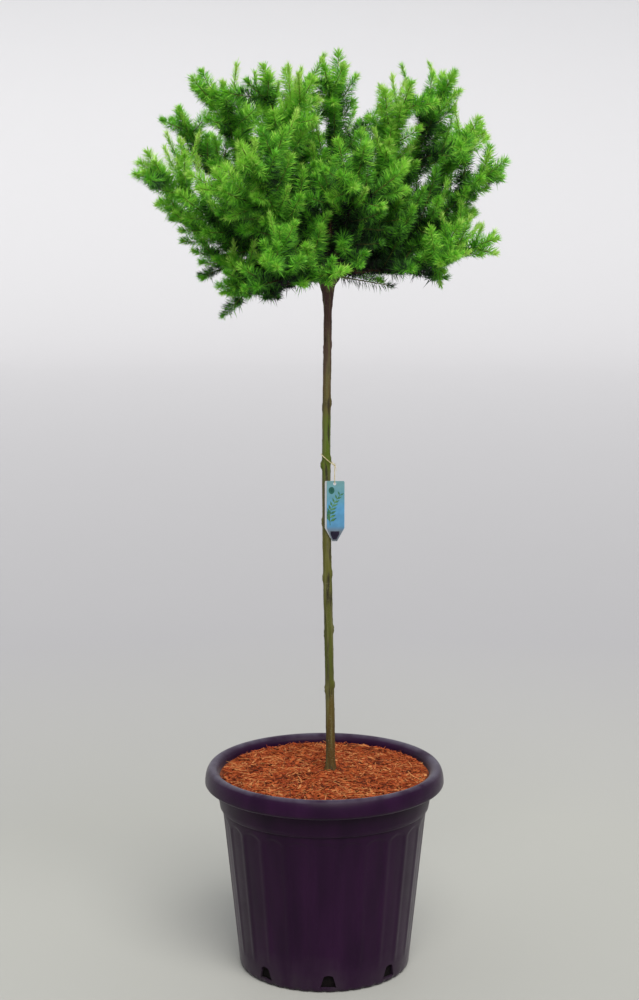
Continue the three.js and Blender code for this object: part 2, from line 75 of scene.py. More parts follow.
def chance(thing: Numbers, draw: Numbers) -> Array:
    """A repeatable number from 0 to 1, as the solids use it.

    Args:
        thing: The number of the thing that is varied.
        draw: Which draw of that thing this is.

    Returns:
        The number, or an array of them.
    """
    wave = np.sin(np.asarray(thing) * 127.1 + np.asarray(draw) * 311.7) * 43758.5453
    return wave - np.floor(wave)


def either_way(thing: Numbers, draw: Numbers) -> Array:
    """A repeatable number from -1 to 1."""
    return chance(thing, draw) * 2 - 1


def mixed(low: float, high: float, share: Numbers) -> Numbers:
    """The value at a share of the way from low to high."""
    return low + (high - low) * share


def between(low: float, high: float, value: Numbers) -> Array:
    """How far a value lies from low to high, held to 0 and 1."""
    return np.clip((np.asarray(value, float) - low) / (high - low), 0, 1)


def smooth(share: Numbers) -> Numbers:
    """A share that starts and ends gently."""
    return share * share * (3 - 2 * share)


def unit(vectors: Array) -> Array:
    """The vectors at length one."""
    return vectors / np.maximum(np.linalg.norm(vectors, axis=-1, keepdims=True), 1e-9)


def heading(turn: float, rise: float) -> Array:
    """The direction at a turn from +X towards +Y and a rise above the horizontal.

    Args:
        turn: The turn.
        rise: The rise.

    Returns:
        The direction, of length one.
    """
    level = math.cos(math.radians(rise))
    across_x = level * math.cos(math.radians(turn))
    across_y = level * math.sin(math.radians(turn))
    return np.array([across_x, across_y, math.sin(math.radians(rise))])


def across(tangent: Array, keep: Array) -> tuple[Array, Array]:
    """The two directions across a line.

    Args:
        tangent: The line's direction, or an array of them.
        keep: A direction that the line never runs along.

    Returns:
        The direction to the side and the one over the line, on the side of keep.
    """
    side = unit(np.cross(tangent, keep))
    return side, unit(np.cross(side, tangent))


def about(tangent: Array) -> tuple[Array, Array]:
    """The directions to the side of a line of any slope and over it."""
    steep = np.abs(tangent[..., 2]).max() > STEEP
    return across(tangent, FRONT if steep else UP)


def swung(one: Array, other: Array, turn: Numbers) -> Array:
    """The direction at a turn, in radians, from one direction towards the one across it."""
    turn = np.asarray(turn, float)[..., None]
    return one * np.cos(turn) + other * np.sin(turn)


def ripple(u: Array, v: Array, cells: int, seed: int) -> Array:
    """Smooth noise that closes on itself in one direction.

    Args:
        u: Where round the closed direction, in turns.
        v: Where along the other direction, in cells.
        cells: How many cells fit round.
        seed: Which noise it is.

    Returns:
        Values from -1 to 1.
    """
    grid_u = u * cells
    low_u = np.floor(grid_u)
    low_v = np.floor(v)
    part_u = smooth(grid_u - low_u)
    part_v = smooth(v - low_v)
    total = np.zeros(np.broadcast(u, v).shape)
    for step_u in (0, 1):
        for step_v in (0, 1):
            corner = (low_u + step_u) % cells * 57.3 + (low_v + step_v) * 13.7 + seed * 91.1
            weight_u = part_u if step_u else 1 - part_u
            weight_v = part_v if step_v else 1 - part_v
            total = total + either_way(corner, 1) * weight_u * weight_v
    return total


class Gathering:
    """Points and faces of many small things, to be joined into one mesh."""

    def __init__(self) -> None:
        """Starts with nothing gathered."""
        self.points: list[Array] = []
        self.faces: list[Array] = []
        self.count = 0

    def add(self, points: Array, *faces: Array) -> None:
        """Takes in one thing.

        Args:
            points: Its corner points in millimetres, one row each.
            faces: Arrays of corner numbers, each array with one number of corners to a face.
        """
        for some in faces:
            if len(some):
                self.faces.append(np.asarray(some, np.int64) + self.count)
        self.points.append(np.asarray(points, float).reshape(-1, 3))
        self.count += len(self.points[-1])

    def mesh(self, name: str, sharp: float | None = None) -> bpy.types.Mesh:
        """The joined mesh in metres.

        Args:
            name: The mesh's name.
            sharp: The angle in degrees above which an edge stays sharp. With none, the faces
                stay flat.

        Returns:
            The new mesh.
        """
        points = np.concatenate(self.points) * MM
        corners = np.concatenate([some.ravel() for some in self.faces])
        sizes = np.concatenate([np.full(len(some), some.shape[1]) for some in self.faces])
        mesh = bpy.data.meshes.new(name)
        mesh.vertices.add(len(points))
        mesh.vertices.foreach_set("co", points.astype(np.float32).ravel())
        mesh.loops.add(len(corners))
        mesh.loops.foreach_set("vertex_index", corners.astype(np.int32))
        mesh.polygons.add(len(sizes))
        starts = np.concatenate([[0], np.cumsum(sizes)[:-1]])
        mesh.polygons.foreach_set("loop_start", starts.astype(np.int32))
        mesh.update(calc_edges=True)
        if sharp is None:
            mesh.shade_flat()
        else:
            mesh.shade_smooth()
            mesh.set_sharp_from_angle(angle=math.radians(sharp))
        return mesh


def one_mesh(name: str, sharp: float | None, points: Array, *faces: Array) -> bpy.types.Mesh:
    """The mesh of a single thing, by its points and faces.

    Args:
        name: The mesh's name.
        sharp: The angle above which an edge stays sharp, if any.
        points: Its corner points in millimetres.
        faces: Arrays of corner numbers.

    Returns:
        The new mesh, in metres.
    """
    gathered = Gathering()
    gathered.add(points, *faces)
    return gathered.mesh(name, sharp)


def ring_faces(rings: int, sides: int) -> Array:
    """The four-cornered faces between rings of points that lie one after the other.

    Args:
        rings: How many rings there are.
        sides: How many points each ring has.

    Returns:
        Four corner numbers for each face.
    """
    start = np.arange(rings - 1)[:, None] * sides
    low = start + np.arange(sides)
    turned = start + (np.arange(sides) + 1) % sides
    return np.stack([low, turned, turned + sides, low + sides], axis=-1).reshape(-1, 4)


def closed(rings: Array, ends: Array) -> tuple[Array, Array, Array]:
    """A form of rings of points that a point closes at each end.

    Args:
        rings: The points, by ring and by place round it.
        ends: The point before the first ring and the point after the last.

    Returns:
        The points, the four-cornered faces and the three-cornered faces at the two ends.
    """
    count, sides = rings.shape[:2]
    start = count * sides
    here = np.arange(sides)
    after = (here + 1) % sides
    last = start - sides
    near_cap = np.stack([np.full(sides, start), after, here], axis=-1)
    far_cap = np.stack([np.full(sides, start + 1), last + here, last + after], axis=-1)
    points = np.concatenate([rings.reshape(-1, 3), ends])
    return points, ring_faces(count, sides), np.concatenate([near_cap, far_cap])


def tube(centres: Array, radii: Array, sides: int, tip: float = 0.0) -> tuple:
    """A closed tube round a line.

    Args:
        centres: Points of the middle line.
        radii: One radius for each centre, or one for each centre and side.
        sides: How many sides the tube has.
        tip: How far the far end's cap stands out.

    Returns:
        The points, the faces along the tube and the faces of its two ends.
    """
    tangents = unit(np.gradient(centres, axis=0))
    side, over = about(tangents)
    angles = np.arange(sides) / sides * 2 * math.pi
    radii = np.broadcast_to(radii.reshape(len(centres), -1), (len(centres), sides))[..., None]
    rings = centres[:, None] + swung(over[:, None], side[:, None], angles) * radii
    return closed(rings, np.array([centres[0], centres[-1] + tangents[-1] * tip]))


def turned_form(profile: Array, segments: int) -> tuple[Array, Array, Array]:
    """A form turned round the Z axis from a profile that starts and ends on it.

    Args:
        profile: Radius and height of each point, from the middle of the underside outwards.
        segments: How many segments there are round the form.

    Returns:
        The points, the four-cornered faces and the three-cornered faces at the two ends.
    """
    angles = np.arange(segments) / segments * 2 * math.pi
    radius, height = profile[1:-1, :1], profile[1:-1, 1:] + 0 * angles
    rings = np.stack([radius * np.cos(angles), radius * np.sin(angles), height], axis=-1)
    return closed(rings, np.array([[0, 0, profile[0, 1]], [0, 0, profile[-1, 1]]]))


def quarter(centre: tuple, size: tuple, start: float, end: float, steps: int) -> list[tuple]:
    """Points along part of an ellipse.

    Args:
        centre: Radius and height of its middle.
        size: Its half width and half height.
        start: The angle of the first point.
        end: The angle of the last point.
        steps: How many steps there are between them.

    Returns:
        Radius and height of each point.
    """
    angles = np.radians(np.linspace(start, end, steps + 1))
    return [(centre[0] + size[0] * math.cos(a), centre[1] + size[1] * math.sin(a)) for a in angles]


class Paint:
    """A material's nodes, with short ways to add the usual ones."""

    def __init__(self, finish: "Finish") -> None:
        """Starts the material of a finish.

        Args:
            finish: The finish.
        """
        self.material = bpy.data.materials.new(finish.name)
        self.material.use_nodes = True
        self.tree = self.material.node_tree
        self.shader = self.tree.nodes["Principled BSDF"]
        self.fill(self.shader, {"Roughness": finish.roughness, "Specular IOR Level": finish.gloss})
        self.place = self.tree.nodes.new("ShaderNodeTexCoord").outputs["Object"]

    def fill(self, node: bpy.types.Node, inputs: dict) -> None:
        """Gives inputs of a node a value each, or another node's output.

        Args:
            node: The node.
            inputs: A value, or another node's output, for each input's name.
        """
        for key, value in inputs.items():
            if isinstance(value, Socket):
                self.tree.links.new(value, node.inputs[key])
            else:
                node.inputs[key].default_value = value

    def add(self, kind: str, inputs: dict, **settings: str) -> bpy.types.Node:
        """Adds a node.

        Args:
            kind: The end of its type's name.
            inputs: A value, or another node's output, for each input that is used.
            settings: The node's own settings.

        Returns:
            The node.
        """
        node = self.tree.nodes.new("ShaderNode" + kind)
        for key, value in settings.items():
            setattr(node, key, value)
        self.fill(node, inputs)
        return node

    def stretched(self, scale: Triple) -> Socket:
        """The place on the object, stretched along its axes."""
        return self.add("Mapping", {"Scale": scale, "Vector": self.place}).outputs["Vector"]

    def noise(self, scale: float, detail: float = 3.0, place: Socket | None = None) -> Socket:
        """Cloudy noise.

        Args:
            scale: Cells in a metre.
            detail: How many finer layers it has.
            place: Where it is read. With none, at the place on the object.

        Returns:
            The noise's strength.
        """
        inputs = {"Scale": scale, "Detail": detail, "Vector": place or self.place}
        return self.add("TexNoise", inputs).outputs["Fac"]

    def ramp(self, strength: Socket, *stops: tuple[float, Colour]) -> Socket:
        """A colour for each strength.

        Args:
            strength: The strength that is coloured.
            stops: The strengths with their colours.

        Returns:
            The colour.
        """
        node = self.add("ValToRGB", {"Fac": strength})
        elements = node.color_ramp.elements
        while len(elements) < len(stops):
            elements.new(0.5)
        for element, (position, colour) in zip(elements, stops):
            element.position = position
            element.color = (*colour, 1.0)
        return node.outputs["Color"]

    def share(self, strength: Socket, low: float, high: float, most: float = 1.0) -> Socket:
        """A share that is none at the strength low and most at the strength high.

        Args:
            strength: The strength that it follows.
            low: Where it is none.
            high: Where it is the most.
            most: How much it is there.

        Returns:
            The share.
        """
        first, last = (0.0, most) if low < high else (most, 0.0)
        ends = sorted((low, high))
        return self.ramp(strength, (ends[0], (first,) * 3), (ends[1], (last,) * 3))

    def sum(self, one: Socket, other: Socket, share: float) -> Socket:
        """One strength with a share of another added."""
        inputs = {0: other, 1: share, 2: one}
        return self.add("Math", inputs, operation="MULTIPLY_ADD").outputs["Value"]

    def height(self, low: float, high: float) -> Socket:
        """How far the place lies from a low height to a high one, in metres.

        Args:
            low: The low height.
            high: The high height.

        Returns:
            A share from 0 to 1.
        """
        parts = self.add("SeparateXYZ", {"Vector": self.place})
        inputs = {"From Min": low, "From Max": high, "Value": parts.outputs["Z"]}
        return self.add("MapRange", inputs).outputs["Result"]

    def blend(self, share: Socket, one: Socket, other: Socket, kind: str = "MIX") -> Socket:
        """One colour mixed with another by a share.

        Args:
            share: How much of the other there is.
            one: The one colour.
            other: The other colour.
            kind: How they are mixed.

        Returns:
            The colour.
        """
        inputs = {"Factor": share, "A": one, "B": other}
        node = self.add("Mix", inputs, data_type="RGBA", blend_type=kind)
        return next(s for s in node.outputs if s.type == "RGBA")

    def rough(self, strength: Socket, low: float, high: float) -> None:
        """Varies the roughness from low to high with a strength."""
        node = self.add("MapRange", {"To Min": low, "To Max": high, "Value": strength})
        self.fill(self.shader, {"Roughness": node.outputs["Result"]})

    def done(self, colour: Socket, relief: Socket, depth: float) -> bpy.types.Material:
        """The material, with its colour and a relief that is depth metres deep at most.

        Args:
            colour: Its colour.
            relief: The strength of its relief.
            depth: The relief's greatest depth.

        Returns:
            The material.
        """
        bump = self.add("Bump", {"Strength": 0.8, "Distance": depth, "Height": relief})
        self.fill(self.shader, {"Base Color": colour, "Normal": bump.outputs["Normal"]})
        return self.material


@dataclass(frozen=True)
class Finish:
    """A finish of two colours in cloudy patches over a fine grain.

    Attributes:
        name: The material's name.
        dark: The darker colour.
        light: The lighter colour.
        roughness: How rough the surface is.
        patches: Patches in a metre.
        grain: Grains in a metre, for the relief.
        relief: The depth of the grain in metres.
        gloss: How strongly the surface mirrors, with 0.5 as usual for plastics.
        stretch: How far the patches are squeezed along each axis.
    """

    name: str
    dark: Colour
    light: Colour
    roughness: float = 0.6
    patches: float = 60.0
    grain: float = 900.0
    relief: float = 0.0002
    gloss: float = 0.2
    stretch: Triple = (1.0, 1.0, 1.0)

    def material(self) -> bpy.types.Material:
        """The material, made once and then shared."""
        return bpy.data.materials.get(self.name) or self.make(Paint(self))

    def make(self, paint: Paint) -> bpy.types.Material:
        """Makes the material.

        Args:
            paint: The material as it is begun.

        Returns:
            The material.
        """
        place = paint.stretched(self.stretch)
        patches = paint.noise(self.patches, 3, place)
        colour = paint.ramp(patches, (0.36, self.dark), (0.64, self.light))
        return paint.done(colour, paint.noise(self.grain, 2, place), self.relief)


@dataclass(frozen=True)
class PotPlastic(Finish):
    """Satin moulded plastic with faint flow lines, dust low down where the ground touches it, and a
    painted highlight along the rim's crest.

    Attributes:
        dust: The colour of the dust.
        dust_low: The height in metres below which it lies all over.
        dust_high: The height in metres above which there is none.
        bloom: How strongly fine dust lightens the wall where it is seen aslant.
        crest_highlight: The colour of the painted highlight along the top of the rim.
        crest_low: The height in metres from which the painted highlight begins.
        crest_high: The height in metres above which the painted highlight covers the crest all over.
    """

    dust: Colour = (0.036, 0.026, 0.036)
    dust_low: float = 0.02
    dust_high: float = 0.10
    bloom: float = 0.12
    crest_highlight: Colour = (0.092, 0.083, 0.115)
    crest_low: float = 0.3695
    crest_high: float = 0.3765

    def make(self, paint: Paint) -> bpy.types.Material:
        """Makes the material.

        Args:
            paint: The material as it is begun.

        Returns:
            The material.
        """
        flow = paint.noise(self.patches, 4, paint.stretched(self.stretch))
        plain = paint.ramp(flow, (0.35, self.dark), (0.65, self.light))
        dust = paint.ramp(flow, (0.3, self.light), (0.7, self.dust))
        # Painted highlight: a lighter grey laid over the top of the rim, for the light that the crest
        # catches.
        crest_highlight = paint.ramp(flow, (0.3, self.light), (0.6, self.crest_highlight))
        scuffs = paint.noise(34, 6)
        dusted = paint.sum(paint.height(self.dust_high, self.dust_low), scuffs, -0.75)
        wear_and_highlight = paint.sum(paint.height(self.crest_low, self.crest_high), scuffs, -0.3)
        paint.rough(scuffs, self.roughness - 0.07, self.roughness + 0.1)
        paint.fill(paint.shader, {"Sheen Weight": self.bloom, "Sheen Roughness": 0.35})
        relief = paint.sum(paint.noise(self.grain, 2), flow, 0.8)
        return paint.done(paint.blend(wear_and_highlight, paint.blend(dusted, plain, dust), crest_highlight), relief, self.relief)


@dataclass(frozen=True)
class StemBark(Finish):
    """Thin bark that changes colour up the stem, streaked along it and flecked with pores.

    Attributes:
        zones: Heights in metres with the bark's colour there.
        streak: The colour of the darker streaks.
        fleck: The colour of the pores and of scurf.
        pale: The colour of the long pale lines.
    """

    zones: Stops = ()
    streak: Colour = (0.02, 0.014, 0.009)
    fleck: Colour = (0.22, 0.2, 0.12)
    pale: Colour = (0.17, 0.165, 0.06)

    def make(self, paint: Paint) -> bpy.types.Material:
        """Makes the material.

        Args:
            paint: The material as it is begun.

        Returns:
            The material.
        """
        low, high = self.zones[0][0], self.zones[-1][0]
        wander = paint.noise(16, 4)
        height = paint.sum(paint.height(low, high), wander, 0.16)
        stops = [(min(1.0, (z - low) / (high - low) * 0.98 + 0.08), shade) for z, shade in self.zones]
        lines = paint.noise(self.patches, 5, paint.stretched(self.stretch))
        dark = paint.ramp(lines, (0.34, self.streak), (0.5, self.light))
        colour = paint.blend(paint.share(lines, 0.5, 0.36, 0.85), paint.ramp(height, *stops), dark)
        grain = paint.noise(150, 3, paint.stretched((1.0, 1.0, 0.045)))
        colour = paint.blend(paint.share(grain, 0.5, 0.62, 0.55), colour, (*self.pale, 1.0))
        pores = paint.noise(330, 2, paint.stretched((1.0, 1.0, 2.6)))
        flecks = paint.ramp(wander, (0.4, self.fleck), (0.6, self.light))
        colour = paint.blend(paint.share(pores, 0.6, 0.67, 0.6), colour, flecks)
        paint.rough(lines, self.roughness - 0.12, self.roughness + 0.1)
        return paint.done(colour, paint.sum(paint.noise(self.grain, 3), lines, 1.6), self.relief)


@dataclass(frozen=True)
class PrintedCard(Finish):
    """A smooth card printed with a run of plain colours, from its pointed end to its top.

    Attributes:
        bands: Heights in metres with the colour there.
    """

    bands: Stops = ()

    def make(self, paint: Paint) -> bpy.types.Material:
        """Makes the material.

        Args:
            paint: The material as it is begun.

        Returns:
            The material.
        """
        low, high = self.bands[0][0], self.bands[-1][0]
        stops = [((z - low) / (high - low), shade) for z, shade in self.bands]
        printed = paint.ramp(paint.height(low, high), *stops)
        wear_and_highlight = paint.ramp(paint.noise(self.patches, 4), (0.35, (0.86,) * 3), (0.65, (1.0,) * 3))
        colour = paint.blend(1.0, printed, wear_and_highlight, "MULTIPLY")
        return paint.done(colour, paint.noise(self.grain, 2), self.relief)


@dataclass(frozen=True)
class PottingMix(Finish):
    """Loose bark that turns to dark peat further down, darkened to near black as painted shade inside the
    pot.

    Attributes:
        peat_and_shade: The colour of the peat, darkened to near black as painted shade.
        peat_top: The height in metres where it begins.
    """

    peat_and_shade: Colour = (0.002, 0.001, 0.0015)
    peat_top: float = 0.33

    def make(self, paint: Paint) -> bpy.types.Material:
        """Makes the material.

        Args:
            paint: The material as it is begun.

        Returns:
            The material.
        """
        patches = paint.noise(self.patches, 3)
        bark = paint.ramp(patches, (0.36, self.dark), (0.64, self.light))
        # Painted shade: the filling below the bark is near black, for dark peat in the shade inside the
        # pot where the drain holes show it.
        deep = paint.ramp(patches, (0.3, self.peat_and_shade), (0.9, (0.007, 0.004, 0.004)))
        colour = paint.blend(paint.height(self.peat_top, self.peat_top + 0.02), deep, bark)
        return paint.done(colour, paint.noise(self.grain, 2), self.relief)


def put(data: bpy.types.ID) -> bpy.types.Object:
    """Puts a mesh, a light or a camera into the scene, under its own name.

    Args:
        data: The mesh, light or camera.

    Returns:
        Its object.
    """
    thing = bpy.data.objects.new(data.name, data)
    bpy.context.scene.collection.objects.link(thing)
    return thing


def place_piece(mesh: bpy.types.Mesh, finish: Finish, nodes: list[str]) -> None:
    """Puts a finished mesh on the tree.

    Args:
        mesh: The mesh, whose name the piece takes.
        finish: The piece's finish.
        nodes: The solids that the piece stands for.
    """
    piece = put(mesh)
    mesh.materials.append(finish.material())
    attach(piece, BODY)
    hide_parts(*nodes)
    log.info("%s: %d triangles", piece.name, len(mesh.loops) - 2 * len(mesh.polygons))


@dataclass
class Stem:
    """The bare stem with its root flare, its knots and the swollen grafted head."""

    ground: float = 366
    foot_x: float = 11
    bow_x: float = 3
    bow_height: float = 930
    head_x: float = 6
    foot_radius: float = 11.5
    flare_height: float = 30
    low_radius: float = 8.3
    high_radius: float = 7.0
    graft_height: float = 1190
    head_height: float = 1268
    head_radius: float = 19
    tip_height: float = 1292
    tip_radius: float = 10
    widest: float = 6
    sunk: float = 2
    ring_step: float = 2.0
    sides: int = 48
    knot_pairs: int = 7
    first_knot: float = 519
    knot_step: float = 103
    right_higher: float = 9
    knot_bulge: float = 2.2
    knot_spread: float = 11
    big_pair: int = 4
    big_bulge: float = 4.2
    knot_wander: float = 25
    scar: float = 1.3
    scar_height: float = 4
    scar_facing: float = 0.86
    band_height: float = 26
    band_bulge: float = 0.7
    pore_height: float = 3.4
    pore_bulge: float = 0.9
    flute_height: float = 45
    closing_height: float = 14
    tip_dome: float = 2.5
    waves: tuple[tuple[float, int, int, float, float], ...] = (
        (46, 7, 1, 0.28, 0),
        (19, 14, 2, 0.2, 0),
        (9, 22, 3, 0.1, 0.75),
        (15, 9, 4, 0, 1.7),
        (70, 30, 6, 0.16, 0),
    )

    def middle_x(self, height: Array) -> Array:
        """Where the stem's middle line is from left to right at a height.

        Args:
            height: The height, or several.

        Returns:
            Its X there.
        """
        low = smooth(between(self.ground, self.bow_height, height))
        high = smooth(between(self.bow_height, self.head_height, height))
        return self.foot_x + (self.bow_x - self.foot_x) * low + (self.head_x - self.bow_x) * high

    def radius(self, height: Array) -> Array:
        """The stem's radius at a height, without its knots.

        Args:
            height: The height, or several.

        Returns:
            The radius there.
        """
        flare_share = (1 - between(self.ground, self.ground + self.flare_height, height)) ** 2
        flare = flare_share * (self.foot_radius - self.low_radius)
        rising = between(self.ground, self.graft_height, height)
        taper = mixed(self.low_radius, self.high_radius, rising)
        swelling = between(self.graft_height, self.head_height - self.widest, height) ** 3
        closing = smooth(between(self.head_height + self.widest, self.tip_height, height))
        plain = taper + flare + (self.head_radius - taper) * swelling
        return plain + (self.tip_radius - plain) * closing

    def knots(self) -> list[Triple]:
        """The knots' heights, directions in degrees and bulges.

        Returns:
            A height, a direction and a bulge for each.
        """
        made = []
        for pair in range(self.knot_pairs):
            for side in (0, 1):
                big = pair == self.big_pair and side == 0
                wander = 0 if big else either_way(pair, 3 + side) * self.knot_wander
                bulge = self.knot_bulge * (0.6 + 0.8 * chance(pair, 5 + side))
                height = self.first_knot + pair * self.knot_step + side * self.right_higher
                made.append((height, 180 - side * 180 + wander, self.big_bulge if big else bulge))
        return made

    def relief(self, angle: Array, height: Array) -> Array:
        """How far the bark stands out: knots with their scars, ridges, and a rough head.

        Args:
            angle: The direction round the stem, in radians.
            height: The height.

        Returns:
            The height of the relief over the plain radius.
        """
        turn = angle / (2 * math.pi)
        total = np.zeros(np.broadcast(angle, height).shape)
        for knot_height, knot_turn, bulge in self.knots():
            facing = np.cos(angle - math.radians(knot_turn))
            away = np.abs(height - knot_height)
            total += bulge * smooth(between(self.knot_spread, 0, away)) * np.clip(facing, 0, None) ** 3
            scar = smooth(between(self.scar_height, 0, away)) * between(self.scar_facing, 1, facing) ** 2
            total -= self.scar * scar
        head = between(self.graft_height - 20, self.head_height - 20, height)
        for length, cells, seed, depth, head_depth in self.waves:
            total += ripple(turn, height / length, cells, seed) * (depth + head_depth * head)
        bands = ripple(turn * 0 + 0.3, height / self.band_height, 3, 5)
        pores = ripple(turn, height / self.pore_height, 17, 7)
        total += np.clip(bands - 0.45, 0, None) * self.band_bulge
        total += np.clip(pores - 0.5, 0, None) * self.pore_bulge
        flutes = np.cos(angle * 5 + 0.7) * 0.9 + np.cos(angle * 3 + 2.0) * 0.8
        return total + flutes * between(self.ground + self.flute_height, self.ground, height) ** 2

    def build(self) -> None:
        """Makes the stem in place of its solid."""
        count = int((self.tip_height - self.ground + self.sunk) / self.ring_step)
        heights = np.linspace(self.ground - self.sunk, self.tip_height, count)[:, None]
        angles = np.arange(self.sides)[None, :] / self.sides * 2 * math.pi
        closing = between(self.tip_height, self.tip_height - self.closing_height, heights)
        radii = self.radius(heights) + self.relief(angles, heights) * closing
        x = self.middle_x(heights) + radii * np.cos(angles)
        rings = np.stack([x, radii * np.sin(angles), heights + 0 * angles], axis=-1)
        top = self.tip_height + self.tip_dome
        ends = [[self.foot_x, 0, self.ground - self.sunk], [self.head_x, 0, top]]
        finish = StemBark(
            "stem bark", (0.05, 0.035, 0.018), (0.085, 0.07, 0.034), roughness=0.72, patches=210,
            grain=1300, relief=0.0005, stretch=(1.0, 1.0, 0.12),
            zones=(
                (0.366, (0.085, 0.047, 0.011)),
                (0.5, (0.095, 0.07, 0.014)),
                (0.575, (0.07, 0.085, 0.011)),
                (0.65, (0.082, 0.09, 0.014)),
                (0.77, (0.105, 0.105, 0.018)),
                (0.89, (0.08, 0.068, 0.026)),
                (0.94, (0.085, 0.12, 0.011)),
                (1.02, (0.09, 0.15, 0.009)),
                (1.055, (0.125, 0.095, 0.026)),
                (1.13, (0.11, 0.07, 0.045)),
                (1.29, (0.074, 0.036, 0.034)),
            ),
        )
        mesh = one_mesh("stem_with_bark", 60, *closed(rings, np.array(ends)))
        place_piece(mesh, finish, ["trunk"])


class Tier(Enum):
    """The crown's storeys, by the first word of their boughs' names."""

    LOW = "low"
    MID = "mid"
    HIGH = "high"


class Tone(Enum):
    """The needles' colours: a near-black of painted shade for the crown's hollows, then greens that stand
    partly for the needles' age and partly for painted light and shade, up to the newest at the tips.
    """

    # Painted shade: a near-black purple for the needles in the darkest hollows of the crown.
    DRY = ((0.012, 0.008, 0.013), (0.034, 0.024, 0.034))
    DEEP = ((0.017, 0.05, 0.018), (0.038, 0.115, 0.027))
    MID = ((0.08, 0.29, 0.028), (0.122, 0.39, 0.04))
    FRESH = ((0.16, 0.54, 0.037), (0.215, 0.64, 0.052))
    BRIGHT = ((0.3, 0.7, 0.06), (0.39, 0.78, 0.085))
    TIP = ((0.45, 0.77, 0.11), (0.57, 0.84, 0.18))


class Age(Enum):
    """How old a shoot's wood is."""

    OLD = ((0.05, 0.024, 0.013), (0.105, 0.058, 0.032))
    YOUNG = ((0.12, 0.11, 0.03), (0.19, 0.2, 0.05))


@dataclass(frozen=True)
class Limb:
    """A main bough with the leading shoot that grows on from it.

    Attributes:
        name: The words after bough_ and foliage_ in its nodes' names.
        index: Its place in the table of boughs.
        turn: Its direction from +X towards +Y.
        rise: Its slope above the horizontal.
        reach: From the head to its furthest tip.
        roll: How far its side shoots are turned round it.
        bow: How far it dips, as a share of its reach.
    """

    name: str
    index: int
    turn: float
    rise: float
    reach: float
    roll: float
    bow: float = 0.05

    @cached_property
    def axis(self) -> Array:
        """The limb's straight direction."""
        return heading(self.turn, self.rise)

    @cached_property
    def over(self) -> Array:
        """The direction over the limb, away from which it dips."""
        return across(self.axis, FRONT if abs(self.axis[2]) > 0.97 else UP)[1]

    @property
    def tier(self) -> Tier:
        """The storey that the limb belongs to."""
        first = self.name.split("_")[0]
        return Tier.HIGH if first == "top" else Tier(first)

    def point(self, share: Numbers) -> Array:
        """The point of the middle line at a share of the reach, or at several.

        Args:
            share: The share, or several.

        Returns:
            The point, or one for each.
        """
        share = np.asarray(share, float)[..., None]
        dip = self.reach * self.bow * np.sin(math.pi * share) ** 2
        return HEAD + self.axis * self.reach * share - self.over * dip


@dataclass(frozen=True)
class Shoot:
    """A shoot: the line that it grows along, and what it bears.

    Attributes:
        limb: The limb that it grows from.
        path: The points of its middle line, by share.
        length: Its length.
        radius: Its radius where it starts.
        seed: The number that its chances are drawn with.
        order: 1 for a limb's leader, 2 for a side shoot, 3 for a twig and 4 for old wood.
        slim: Whether it is this spring's shoot, with short needles that lie close to it.
        needles: The share of its needles that it still has.
    """

    limb: Limb
    path: Path
    length: float
    radius: float
    seed: int
    order: int
    slim: bool = False
    needles: float = 1.0

    def tangent(self, at: Array) -> Array:
        """The shoot's direction at some shares."""
        at = np.asarray(at, float)
        return unit(self.path(np.minimum(at + 0.01, 1)) - self.path(np.maximum(at - 0.01, 0)))


def clumps(points: Array) -> Array:
    """Smooth noise in space, as coarse as the clumps of the foliage.

    Args:
        points: The places.

    Returns:
        Values from -1 to 1.
    """
    total = np.zeros(np.shape(points)[:-1])
    for wave in range(6):
        across_it = unit(np.array([either_way(wave + 3, draw) for draw in (31, 32, 33)], float))
        length = mixed(150, 270, chance(wave, 34))
        phase = chance(wave, 35) * 2 * math.pi
        total = total + np.sin(points @ across_it / length * 2 * math.pi + phase)
    return np.clip(total / 2.4, -1, 1)


